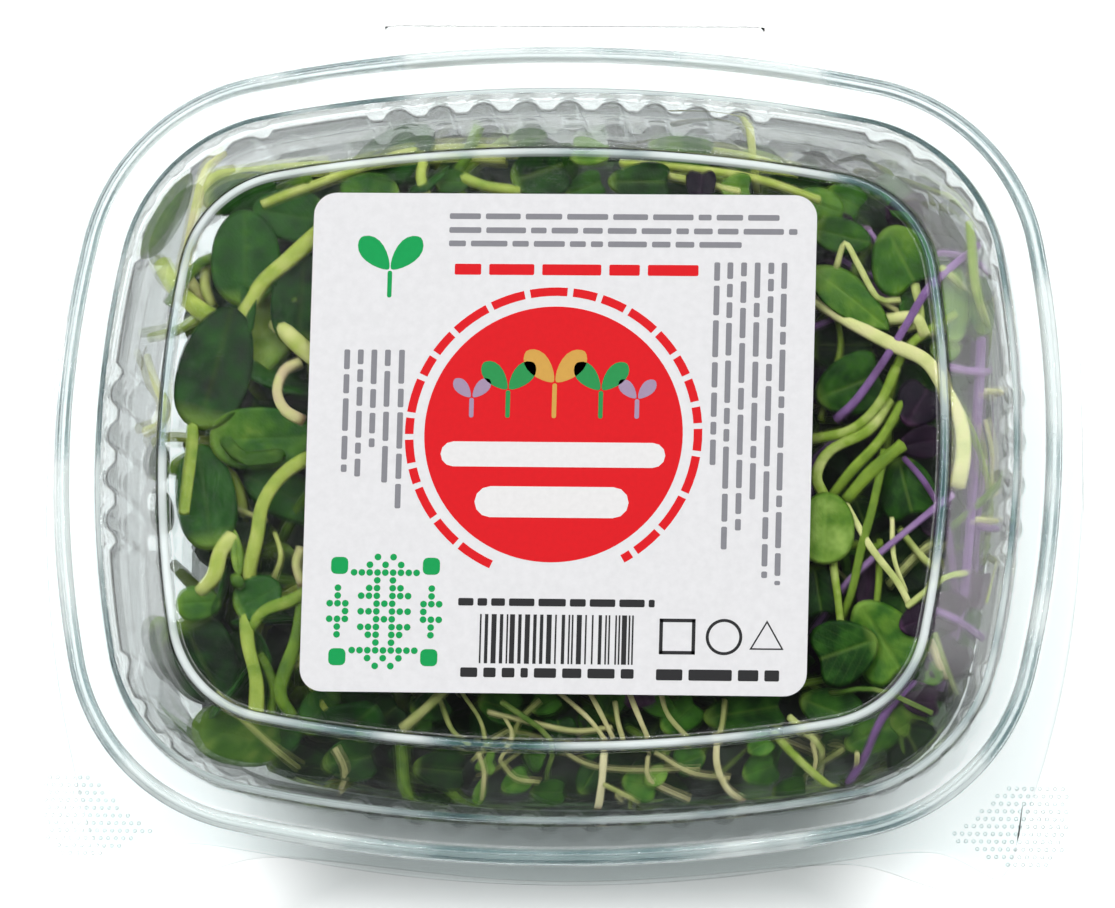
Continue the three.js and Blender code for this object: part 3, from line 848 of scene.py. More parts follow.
sunflower = {
    "leaves": [
        ("oblong", 215, 368, 45, 25.5, 15, 76, 2, -6, 0.2),
        ("oblong", 262, 438, 44, 21, 12.5, 2, 0, 10, 0.62),
        ("oblong", 245, 258, 44.5, 19.5, 14, 92, 3, 8, 0.42),
        ("oblong", 240, 193, 42, 15, 8, 18, 0, 20, 0.35),
        ("oblong", 290, 215, 43, 15, 10.5, 172, 4, 0, 0.42),
        ("oblong", 164, 214, 39, 20, 8.5, 62, 0, 35, 0.72),
        ("oblong", 301, 300, 43, 20, 12, 88, 0, 8, 0.28),
        ("oblong", 262, 335, 40, 20, 13, 50, 0, 0, 0.95),
        ("oblong", 278, 375, 37, 13, 9, 30, 0, 0, 0.12),
        ("oblong", 205, 497, 43, 21.5, 12.5, 100, 0, -8, 0.42),
        ("oblong", 240, 505, 39, 22, 14, 80, 0, 8, 0.05),
        ("oblong", 198, 603, 43, 9, 7, 5, 0, 0, 0.66),
        ("oblong", 258, 598, 44.5, 10.5, 9, 28, 10, -10, 0.5),
        ("oblong", 202, 660, 40, 19, 15, -62, 0, 10, 0.06),
        ("oblong", 165, 731, 33, 16, 8, -28, 0, 20, 0.75),
        ("oblong", 240, 736, 37, 20, 12, -12, 0, 10, 0.7),
        ("oblong", 168, 650, 38, 14, 8, -68, 0, 30, 0.3),
        ("oblong", 160, 463, 38, 8, 5, 88, 0, 40, 0.2),
        ("oblong", 164, 512, 38, 9, 4.5, 95, 0, 40, 0.24),
        ("lance", 237, 553, 44, 9.5, 2.6, 97, 0, 20, 0.8),
        ("oblong", 320, 707, 41, 12, 7, 60, 0, 20, 0.55),
        ("oblong", 233, 670, 37, 16, 9, 82, 0, 30, 0.3),
        ("oblong", 285, 515, 36, 16, 12, 60, 0, 0, 0.05),
        ("oblong", 370, 192, 42, 12, 8, 170, 0, 0, 0.6),
        ("oblong", 190, 460, 40, 10, 4, 30, 0, 30, 0.8),
    ],
    "stems": [
        (1.5, 1.7, 0.7, ((240, 322, 43), (262, 283, 45), (290, 258, 45.5), (330, 222, 45))),
        (1.9, 1.7, 0.8, ((276, 322, 42), (296, 342, 44), (330, 372, 44.5))),
        (1.0, 1.15, 0.95, ((300, 362, 43), (284, 371, 44.5), (277, 391, 45), (285, 410, 45),
                           (304, 421, 44.5))),
        (1.5, 1.3, 0.68, ((330, 452, 43), (300, 462, 45), (277, 480, 45.5), (262, 505, 45.5),
                          (257, 535, 45), (250, 567, 44), (249, 590, 42))),
        (1.7, 1.4, 0.75, ((232, 538, 43), (220, 552, 45), (214, 575, 45), (200, 592, 43))),
        (1.3, 1.5, 0.62, ((246, 612, 43), (248, 645, 45), (256, 680, 45), (256, 716, 44))),
        (1.3, 1.2, 0.5, ((318, 588, 44), (290, 600, 45.5), (265, 610, 45.5), (250, 628, 44))),
        (1.5, 1.3, 0.42, ((306, 590, 43), (296, 640, 45), (280, 690, 44.5), (292, 716, 43))),
        (1.0, 1.0, 0.42, ((262, 655, 40), (275, 690, 42), (270, 715, 42))),
        (0.9, 1.2, 0.88, ((224, 153, 38), (206, 172, 41), (197, 205, 42), (189, 245, 42), (186, 272, 41),
                          (203, 300, 40))),
        (1.9, 1.7, 0.66, ((163, 264, 38), (176, 288, 41), (200, 310, 43), (222, 322, 42))),
        (1.0, 1.1, 0.6, ((150, 338, 34), (176, 331, 38), (198, 318, 42))),
        (0.8, 1.1, 0.82, ((147, 356, 33), (157, 386, 37), (166, 406, 40), (161, 424, 39), (146, 432, 36))),
        (0.7, 0.9, 0.97, ((124, 342, 26), (131, 352, 28), (130, 366, 28))),
        (0.5, 0.5, 0.8, ((275, 533, 42), (281, 556, 43), (274, 578, 42))),
        (1.1, 1.0, 0.9, ((302, 548, 42), (297, 566, 42), (303, 586, 42))),
        (1.2, 1.0, 0.8, ((318, 430, 42), (330, 500, 43), (340, 560, 42))),
        (1.2, 1.0, 0.7, ((200, 210, 40), (215, 178, 42), (250, 172, 42), (330, 165, 40))),
        (1.1, 1.0, 0.75, ((208, 262, 41), (205, 285, 42), (212, 305, 41))),
        (1.0, 0.8, 0.75, ((262, 205, 43), (300, 190, 43), (400, 158, 41), (505, 160, 39))),
        (0.8, 0.8, 0.7, ((330, 172, 41), (420, 150, 40), (520, 148, 38))),
        (1.0, 1.1, 0.72, ((424, 158, 41), (421, 178, 43), (428, 200, 43))),
        (1.1, 1.1, 0.62, ((455, 175, 42), (485, 186, 43), (520, 192, 43))),
        (0.8, 0.8, 0.7, ((690, 148, 39), (740, 155, 40), (800, 172, 40))),
        (0.8, 0.8, 0.75, ((620, 163, 40), (690, 168, 41), (760, 180, 42), (820, 200, 42))),
        (0.7, 0.7, 0.78, ((640, 172, 41), (680, 178, 42), (740, 192, 43))),
        (0.9, 0.9, 0.7, ((320, 480, 40), (300, 640, 41), (330, 720, 40))),
    ],
}

radish = {
    "leaves": [
        ("oblong", 842, 236, 43, 12, 7, -14, 0, 0, 0.38),
        ("heart", 902, 258, 44, 15, 13.5, -62, 0, 12, 0.5),
        ("round", 880, 276, 41, 12, 11, -20, 0, 0, 0.04),
        ("lance", 850, 298, 45, 20, 8.5, -38, 0, -12, 0.6),
        ("heart", 850, 386, 43, 16, 12, 22, 0, 12, 0.34),
        ("oblong", 825, 528, 45.5, 14.5, 11.5, 88, 0, 6, 0.8),
        ("heart", 818, 590, 42, 12, 9, -80, 0, 0, 0.15),
        ("heart", 906, 488, 42, 14, 11.5, -75, 0, 10, 0.3),
        ("heart", 882, 640, 44, 19, 14, -58, 0, 8, 0.58),
        ("heart", 845, 650, 45, 14.5, 13, 200, 0, -8, 0.26),
        ("oblong", 954, 306, 41, 15, 7, 88, 0, 25, 0.7),
        ("oblong", 982, 306, 38, 12, 6.5, 92, 0, 40, 0.42),
        ("round", 840, 345, 38, 13, 10, 0, 0, 0, 0.08),
        ("heart", 905, 400, 38, 14, 12, 40, 0, 0, 0.1),
        ("round", 905, 560, 37, 16, 14, 0, 0, 0, 0.06),
        ("heart", 745, 712, 41, 18, 9, 10, 0, 8, 0.3),
        ("heart", 830, 710, 41, 14, 9, -20, 0, 0, 0.35),
        ("heart", 540, 172, 43.5, 13, 12, 20, 0, 0, 0.18),
        ("oblong", 528, 139, 39, 8, 4.5, 10, 0, 20, 0.5),
        ("oblong", 452, 182, 43, 7, 5, 0, 0, 0, 0.35),
        ("heart", 590, 152, 41, 9, 6, 170, 0, 10, 0.75),
        ("heart", 640, 182, 43.5, 14, 8, 0, 0, 0, 0.22),
        ("heart", 682, 150, 41, 15, 6, -8, 0, 20, 0.5),
        ("heart", 736, 188, 43, 7, 6, 0, 0, 0, 0.6),
        ("heart", 585, 188, 43, 9, 6, 20, 0, 0, 0.34),
        ("oblong", 760, 160, 38, 9, 4, -10, 0, 20, 0.6),
        ("round", 820, 205, 42, 10, 7, -20, 0, 0, 0.6),
        ("heart", 845, 200, 41, 9, 7, -30, 0, 0, 0.45),
        ("lobed", 920, 660, 41, 12, 10, -50, 0, 0, 0.62),
        ("heart", 870, 735, 39, 12, 8, 25, 0, 15, 0.55),
        ("heart", 905, 725, 38, 12, 8, 30, 0, 25, 0.8),
        ("round", 945, 350, 40, 6, 5, 0, 0, 0, 0.85),
        ("round", 985, 555, 34, 6, 5, 0, 0, 30, 0.8),
        ("heart", 960, 530, 37, 9, 5, 90, 0, 30, 0.05),
        ("heart", 975, 640, 35, 14, 8, 75, 0, 40, 0.3),
        ("round", 975, 485, 36, 12, 9, 90, 0, 30, 0.1),
    ],
    "stems": [
        (1.2, 1.6, 0.86, ((812, 300, 43), (850, 322, 45), (892, 344, 45.5), (925, 360, 45.5),
                          (943, 386, 45), (960, 420, 44), (963, 455, 43), (957, 487, 42))),
        (1.0, 1.0, 0.62, ((808, 440, 43), (850, 430, 45), (880, 402, 45), (896, 368, 43))),
        (1.1, 1.0, 0.66, ((824, 496, 44), (816, 475, 45.5), (830, 450, 45.5), (868, 430, 45),
                          (890, 400, 43))),
        (1.0, 1.0, 0.55, ((832, 496, 43), (852, 470, 45), (880, 440, 44.5), (903, 402, 43))),
        (1.2, 1.3, 0.5, ((846, 500, 44), (872, 470, 45.5), (903, 444, 45))),
        (0.9, 0.8, 0.45, ((885, 450, 44), (873, 505, 45), (862, 545, 45), (852, 590, 44), (842, 618, 42))),
        (0.7, 0.7, 0.82, ((846, 504, 44), (870, 546, 45.5), (896, 580, 45.5), (911, 607, 44))),
        (0.5, 0.5, 0.85, ((892, 518, 43), (894, 558, 44), (906, 592, 43))),
        (0.6, 0.6, 0.75, ((836, 268, 44), (845, 243, 45.5), (858, 264, 45.5), (878, 298, 44.5),
                          (900, 300, 43))),
        (0.6, 0.6, 0.9, ((978, 391, 38), (1010, 392, 35))),
        (0.7, 0.7, 0.92, ((972, 502, 37), (990, 496, 36), (1006, 482, 34))),
        (0.6, 0.6, 0.9, ((972, 519, 38), (1010, 523, 34))),
        (0.9, 0.7, 0.97, ((931, 640, 41), (938, 662, 41), (948, 678, 40))),
        (0.8, 0.8, 0.5, ((820, 560, 42), (850, 545, 43), (880, 548, 43))),
        (0.7, 0.6, 0.55, ((880, 540, 42), (878, 590, 43), (870, 640, 42))),
        (0.8, 0.8, 0.6, ((832, 555, 43), (838, 600, 44), (842, 640, 43))),
        (0.7, 0.7, 0.7, ((900, 530, 40), (925, 560, 41), (940, 570, 40))),
        (0.6, 0.6, 0.6, ((820, 420, 40), (840, 350, 40), (835, 310, 39))),
        (0.9, 0.8, 0.7, ((915, 285, 43), (920, 320, 44), (900, 330, 43))),
        (1.3, 1.2, 0.8, ((885, 320, 43), (915, 318, 44.5), (925, 335, 44))),
        (0.7, 0.7, 0.6, ((955, 400, 40), (975, 440, 39), (990, 500, 36), (985, 560, 34))),
        (0.5, 0.5, 0.9, ((985, 420, 37), (992, 455, 36), (990, 500, 35))),
    ],
}

purple = {
    "leaves": [
        ("heart", 918, 405, 44, 10, 9.5, 60, 0, 0, 0.1),
        ("heart", 920, 443, 43, 9, 6.5, 10, 0, 10, 0.2),
        ("heart", 917, 621, 45.5, 8, 7, 20, 0, 0, 0.15),
        ("heart", 979, 590, 36, 9, 8, 80, 0, 30, 0.7),
        ("lance", 868, 585, 41, 11, 4.5, 82, 0, 10, 0.35),
        ("heart", 701, 186, 44, 7.5, 6, 90, 0, 0, 0.0),
        ("heart", 945, 610, 40, 9, 8, -20, 0, 0, 0.45),
        ("heart", 922, 702, 40, 8, 6, 0, 0, 15, 0.4),
        ("heart", 640, 694, 41, 8, 6, 30, 0, 0, 0.7),
        ("heart", 885, 292, 42.5, 7, 5, -20, 0, 0, 0.8),
        ("heart", 860, 236, 42, 6, 4, 0, 0, 0, 0.9),
        ("heart", 812, 385, 41, 9, 8, 80, 0, 0, 0.05),
        ("heart", 932, 520, 39, 7, 6, 80, 0, 0, 0.1),
        ("heart", 960, 480, 38, 7, 8, 80, 0, 20, 0.1),
        ("heart", 950, 660, 39, 10, 8, 60, 0, 20, 0.2),
        ("heart", 930, 668, 41, 8, 6, 60, 0, 0, 0.2),
    ],
    "stems": [
        (0.75, 0.85, 0.55, ((979, 245, 38), (950, 268, 43), (926, 291, 45.5), (905, 326, 46),
                            (880, 366, 45.5), (856, 400, 45), (836, 420, 43))),
        (1.0, 1.0, 0.6, ((981, 338, 38), (979, 385, 38), (976, 430, 38), (973, 480, 38), (969, 540, 38),
                         (962, 600, 38), (950, 650, 37), (938, 690, 36))),
        (0.5, 0.5, 0.7, ((999, 360, 34), (997, 415, 34), (990, 470, 34))),
        (0.8, 0.8, 0.7, ((948, 367, 42), (968, 371, 41), (988, 372, 38))),
        (0.75, 0.7, 0.65, ((978, 526, 38), (1000, 530, 35), (1013, 532, 33))),
        (0.6, 0.6, 0.5, ((904, 458, 44), (923, 480, 44.5), (940, 508, 43))),
        (0.8, 0.8, 0.55, ((925, 672, 40), (900, 695, 41), (880, 722, 40), (864, 758, 38), (848, 784, 36))),
        (0.8, 0.8, 0.4, ((945, 520, 40), (952, 560, 40), (955, 610, 39), (948, 660, 38))),
        (0.7, 0.7, 0.6, ((935, 610, 42), (960, 622, 40), (985, 640, 36))),
        (0.5, 0.5, 0.8, ((862, 240, 42), (870, 232, 42), (880, 248, 42))),
        (0.6, 0.6, 0.6, ((985, 460, 37), (978, 520, 37), (975, 580, 36))),
    ],
}

cress = {
    "leaves": [
        ("lobed", 487, 764, 39, 6, 3.5, 70, 0, 0, 0.8),
        ("heart", 516, 782, 38, 7, 5, 30, 0, 0, 0.62),
        ("heart", 548, 792, 37, 8, 5, 0, 0, 10, 0.4),
        ("heart", 640, 784, 38, 8, 7, -10, 0, 0, 0.66),
        ("round", 656, 776, 39, 5, 4, 40, 0, 0, 0.8),
        ("lance", 480, 792, 37, 6, 2.5, 80, 0, 0, 0.8),
        ("heart", 590, 778, 38, 8, 6, 60, 0, 0, 0.28),
        ("heart", 690, 760, 39, 7, 6, 200, 0, 0, 0.4),
        ("heart", 760, 770, 38, 8, 7, 20, 0, 0, 0.45),
        ("heart", 790, 790, 36, 8, 5, 10, 0, 20, 0.35),
        ("heart", 430, 705, 41, 9, 7, 20, 0, 0, 0.3),
        ("heart", 500, 706, 41, 10, 7, -15, 0, 0, 0.4),
        ("heart", 560, 735, 41, 8, 7, 100, 0, 0, 0.25),
        ("heart", 380, 720, 41, 12, 8, 40, 0, 0, 0.2),
        ("heart", 350, 760, 38, 12, 9, 10, 0, 10, 0.3),
        ("heart", 440, 770, 38, 12, 8, -5, 0, 10, 0.15),
        ("heart", 680, 716, 41, 10, 7, 40, 0, 0, 0.5),
        ("heart", 660, 705, 41, 8, 5, 150, 0, 0, 0.5),
        ("heart", 760, 745, 40, 6, 5, 30, 0, 0, 0.6),
        ("heart", 610, 702, 41, 7, 6, 70, 0, 0, 0.45),
        ("heart", 545, 703, 41, 7, 5, 30, 0, 0, 0.55),
        ("oblong", 300, 765, 36, 14, 8, -10, 0, 20, 0.15),
    ],
    "stems": [
        (0.9, 0.95, 0.6, ((452, 682, 43), (428, 706, 44.5), (402, 729, 43))),
        (0.5, 0.5, 0.75, ((488, 712, 42), (530, 722, 43), (575, 731, 43.5), (612, 727, 43))),
        (0.45, 0.5, 0.8, ((556, 690, 42), (588, 718, 43.5), (606, 741, 43))),
        (0.5, 0.5, 0.8, ((586, 686, 43), (600, 712, 44), (613, 738, 43))),
        (0.5, 0.5, 0.7, ((615, 702, 43), (618, 722, 43.5), (624, 742, 43))),
        (0.6, 0.5, 0.85, ((628, 690, 43), (638, 715, 44), (648, 738, 43))),
        (0.7, 0.75, 0.97, ((604, 752, 42), (602, 780, 41), (598, 812, 38))),
        (0.65, 0.6, 0.9, ((717, 738, 43), (717, 765, 42), (727, 788, 40), (746, 804, 37))),
        (0.5, 0.4, 0.75, ((478, 752, 41), (484, 772, 40), (482, 800, 38))),
        (0.4, 0.4, 0.7, ((500, 760, 41), (515, 778, 40), (540, 782, 39))),
        (0.4, 0.4, 0.75, ((505, 718, 42), (512, 735, 43), (500, 760, 42))),
        (0.4, 0.4, 0.8, ((655, 752, 41), (690, 772, 40), (730, 778, 39))),
        (0.5, 0.4, 0.8, ((812, 742, 40), (816, 760, 39), (812, 776, 38))),
        (0.5, 0.5, 0.55, ((440, 700, 41), (452, 730, 42), (470, 745, 42))),
        (0.4, 0.4, 0.6, ((460, 690, 42), (480, 720, 42.5), (486, 745, 42))),
        (0.5, 0.5, 0.7, ((660, 690, 42), (668, 715, 43), (690, 740, 42))),
        (0.5, 0.5, 0.65, ((725, 700, 42), (722, 725, 43), (716, 745, 42))),
        (0.5, 0.4, 0.6, ((540, 700, 42), (520, 720, 42), (510, 745, 41))),
        (0.6, 0.5, 0.8, ((335, 748, 39), (345, 770, 38), (340, 795, 35))),
        (0.45, 0.45, 0.85, ((648, 756, 40), (650, 780, 39), (690, 800, 37))),
        (0.4, 0.4, 0.75, ((560, 748, 41), (590, 765, 40), (640, 770, 39), (700, 768, 39))),
    ],
}


def layShown(bunch, shape, thick, seed):
    rng = random.Random(seed)
    for kind, px, py, z, length, width, heading, pitch, roll, tone in shape["leaves"]:
        addBlade(bunch, kind, fromPhoto(px, py, z), length, width, heading, pitch, roll, tone,
                 layer=rng.uniform(0, 0.9), cup=rng.uniform(-0.1, 0.22), bend=rng.uniform(-0.08, 0.14),
                 thick=thick, rings=7, sides=32, ripple=rng.uniform(0.0, 0.03), phase=rng.uniform(0, 6))
    for radius, endRadius, tone, points in shape["stems"]:
        addStem(bunch, [fromPhoto(*p) for p in points], radius, endRadius, tone, layer=rng.uniform(0, 0.5),
                sides=10, step=1.2)


def shoot(bunch, shape, rng, tone):  # one whole shoot lying along x, its leaves at the origin
    length = rng.uniform(*shape["stemLength"])
    sway = [rng.uniform(-1, 1) for _ in range(4)]
    path = [(-length, 4 * sway[0], -3), (-0.66 * length, 6 * sway[1], 0.5),
            (-0.33 * length, 4 * sway[2], 1.2), (0, 0, 0)]
    addStem(bunch, path, shape["stemRadius"] * rng.uniform(0.85, 1.1), shape["stemRadius"] * 0.85,
            rng.uniform(0.3, 0.78), sides=6, step=3.0)
    size = rng.uniform(*shape["leafLength"])
    spread = rng.uniform(30, 75)
    for side in (-1, 1):
        heading = math.radians(side * spread)
        place = np.array([math.cos(heading), math.sin(heading), 0.12]) * size * 0.52
        long, wide = size * rng.uniform(0.9, 1.05), size * shape["leafWidth"] * rng.uniform(0.9, 1.1)
        pitch, roll = rng.uniform(-5, 22), side * rng.uniform(-25, 25)
        leafTone = min(1, max(0, tone + rng.uniform(-0.15, 0.15)))
        addBlade(bunch, shape["leafKind"], place, long, wide, side * spread, pitch, roll, leafTone,
                 cup=rng.uniform(-0.1, 0.25), bend=rng.uniform(-0.1, 0.2), thick=shape["thick"],
                 rings=4, sides=14, ripple=0.02, phase=rng.uniform(0, 6))


shootKinds = {
    "sunflower": {"leafKind": "oblong", "stemLength": (30, 48), "stemRadius": 1.35, "leafLength": (17, 24),
                  "leafWidth": 0.58, "thick": 0.8, "tones": (0.0, 0.45)},
    "radish": {"leafKind": "heart", "stemLength": (28, 45), "stemRadius": 0.85, "leafLength": (10, 15),
               "leafWidth": 0.95, "thick": 0.5, "tones": (0.0, 0.45)},
    "purple": {"leafKind": "heart", "stemLength": (28, 45), "stemRadius": 0.7, "leafLength": (8, 12),
               "leafWidth": 0.95, "thick": 0.45, "tones": (0.0, 0.4)},
    "cress": {"leafKind": "heart", "stemLength": (22, 38), "stemRadius": 0.5, "leafLength": (6, 9),
              "leafWidth": 0.8, "thick": 0.35, "tones": (0.05, 0.55)},
}


def shootVariants(name, count, seed):  # several shoots of a kind in a collection that the scatter picks from
    rng = random.Random(seed)
    shelf = bpy.data.collections.new(name + "Variants")
    low, high = shootKinds[name]["tones"]
    for k in range(count):
        bunch = newBunch()
        shoot(bunch, shootKinds[name], rng, low + (high - low) * (k + 0.5) / count)
        made = bunchMesh(f"{name}Variant{k}", bunch)
        scene.collection.objects.unlink(made)
        shelf.objects.link(made)
    return shelf


def greensCore():  # mass inside the heap, painted dark as shade on top, drawn in from the walls
    rows = []
    count = heapShape["coreStations"]
    stations = np.arange(count) * whole / count
    top = heapShape["coreTop"]
    levels = [(2.0, -3.0, 1.0), (8.0, -1.0, 1.0), (16.0, 0.0, 1.0), (24.0, -1.0, 1.0), (top - 4, -3.0, 1.0),
              (top - 1, -6.0, 1.0)]
    levels += [(top, -9.0, share) for share in (0.97, 0.88, 0.76, 0.62, 0.48, 0.34, 0.2, 0.08)]
    for z, inset, share in [(2.0, -8.0, 0.5)] + levels:
        xy, out = ovalPoints(-heapShape["coreInset"] + inset, stations)
        xy = xy * share
        lump = lumpAt(xy[:, 0] * 2.2 + z, xy[:, 1] * 2.2)
        xy = xy + out * (lump * 1.4 * (share > 0.9))[:, None]
        xy[:, 0] += heapShape["coreLeftGap"] * np.clip(-xy[:, 0] / form["halfWidth"], 0, 1) ** 2
        xy[:, 0] += heapShape["coreRightReach"] * np.clip(xy[:, 0] / form["halfWidth"], 0, 1) ** 2
        xy[:, 1] -= heapShape["coreFrontReach"] * np.clip(-xy[:, 1] / form["halfDepth"], 0, 1) ** 2
        x, y = xy.T
        lumps = heapShape["coreLumps"] * lumpAt(x, y) + 1.2 * np.sin(0.9 * x) * np.sin(0.8 * y)
        height = z + (lumps if z >= top - 4 else 0)
        rows.append(np.column_stack([xy + np.array(form["centre"]), np.broadcast_to(height, len(xy))]))
    points = pressIn(np.vstack(rows), 0.4)
    faces = []
    for k in range(len(rows) - 1):
        faces += ringFaces(k * count, (k + 1) * count, count)
    for ring, flip in ((0, True), (len(rows) - 1, False)):
        faces += capFaces(ring * count, len(points), count, flip)
        points = np.vstack([points, points[ring * count:(ring + 1) * count].mean(0)])
    made = newMesh("greens_core", points, faces)
    fixNormals(made)
    return made


# lays picked shoots over the core, spun and tilted, more where the weight attribute is high
def scatterTree():
    tree = bpy.data.node_groups.new("shootScatter", "GeometryNodeTree")
    face = tree.interface
    face.new_socket("Geometry", in_out="INPUT", socket_type="NodeSocketGeometry")
    for name, kind in (("Shoots", "Collection"), ("Density", "Float"), ("Spacing", "Float"),
                       ("Lift", "Float"), ("Tilt", "Float"), ("Seed", "Int"), ("Material", "Material")):
        face.new_socket(name, in_out="INPUT", socket_type="NodeSocket" + kind)
    face.new_socket("Geometry", in_out="OUTPUT", socket_type="NodeSocketGeometry")
    given = addNode(tree, "NodeGroupInput").outputs
    weight = addNode(tree, "GeometryNodeInputNamedAttribute", {"Name": "weight"}, data_type="FLOAT")
    spots = addNode(tree, "GeometryNodeDistributePointsOnFaces", {
        "Mesh": given["Geometry"], "Distance Min": given["Spacing"], "Density Max": given["Density"],
        "Density Factor": weight.outputs["Attribute"], "Seed": given["Seed"]}, distribute_method="POISSON")
    shelf = addNode(tree, "GeometryNodeCollectionInfo", {"Collection": given["Shoots"],
                                                         "Separate Children": True, "Reset Children": True})
    tilt = addNode(tree, "CombineXYZ", {0: given["Tilt"], 1: given["Tilt"], 2: math.pi})
    low = addNode(tree, "VectorMath", {0: tilt, 1: (-1, -1, -1)}, operation="MULTIPLY")
    spin = addNode(tree, "FunctionNodeRandomValue", {"Min": low, "Max": tilt, "Seed": given["Seed"]},
                   data_type="FLOAT_VECTOR")
    turnBy = addNode(tree, "FunctionNodeEulerToRotation", {0: spin})
    turned = addNode(tree, "FunctionNodeRotateRotation", {0: spots.outputs["Rotation"], 1: turnBy},
                     rotation_space="LOCAL")
    size = addNode(tree, "FunctionNodeRandomValue", {2: 0.85, 3: 1.12, "Seed": given["Seed"]},
                   data_type="FLOAT")
    laid = addNode(tree, "GeometryNodeInstanceOnPoints", {
        "Points": spots.outputs["Points"], "Instance": shelf, "Pick Instance": True,
        "Rotation": turned, "Scale": size.outputs[1]})
    lift = addNode(tree, "CombineXYZ", {2: given["Lift"]})
    raised = addNode(tree, "GeometryNodeTranslateInstances",
                     {0: laid, "Translation": lift, "Local Space": True})
    real = addNode(tree, "GeometryNodeRealizeInstances", {0: raised})
    finish = addNode(tree, "GeometryNodeSetMaterial", {0: real, "Material": given["Material"]})
    addNode(tree, "NodeGroupOutput", {0: finish})
    return tree


def scatterOver(base, tree, name, weight, **inputs):
    layer = base.data.attributes.new("weight", "FLOAT", "POINT")
    points = np.zeros(len(base.data.vertices) * 3, np.float32)
    base.data.vertices.foreach_get("co", points)
    layer.data.foreach_set("value", weight(points.reshape(-1, 3) / mm).astype(np.float32))
    modifier = base.modifiers.new(name, "NODES")
    modifier.node_group = tree
    for key, value in inputs.items():
        setInput(modifier, key, value)
    mesh = bpy.data.meshes.new_from_object(base.evaluated_get(bpy.context.evaluated_depsgraph_get()))
    base.modifiers.remove(modifier)
    base.data.attributes.remove(base.data.attributes["weight"])
    return mesh


# the shown ones and the scattered ones of a kind in one mesh, pressed into the pack
def joinShoots(name, bunch, scattered, material, leftGap):
    shown = bunchMesh(name, bunch)
    extra = bpy.data.objects.new(name + "Extra", scattered)
    scene.collection.objects.link(extra)
    for part, gap in ((shown, 0.0), (extra, leftGap)):
        mesh = part.data
        count = len(mesh.vertices)
        points = np.zeros(count * 3, np.float32)
        mesh.vertices.foreach_get("co", points)
        layer = np.zeros(count, np.float32)
        mesh.attributes["layer"].data.foreach_get("value", layer)
        if part is extra:
            layer = layer + 1.2
        pressed = pressIn(points.reshape(-1, 3) / mm, layer, gap) * mm
        mesh.vertices.foreach_set("co", pressed.astype(np.float32).ravel())
        mesh.materials.clear()
        mesh.materials.append(material)
    with bpy.context.temp_override(active_object=shown, selected_objects=[shown, extra],
                                   selected_editable_objects=[shown, extra]):
        bpy.ops.object.join()
    shown.data.polygons.foreach_set("material_index", [0] * len(shown.data.polygons))
    shown.data.polygons.foreach_set("use_smooth", [True] * len(shown.data.polygons))
    shown.data.attributes.remove(shown.data.attributes["layer"])
    shown.data.update()
    print(name, "triangles", sum(len(p.vertices) - 2 for p in shown.data.polygons))
    return shown
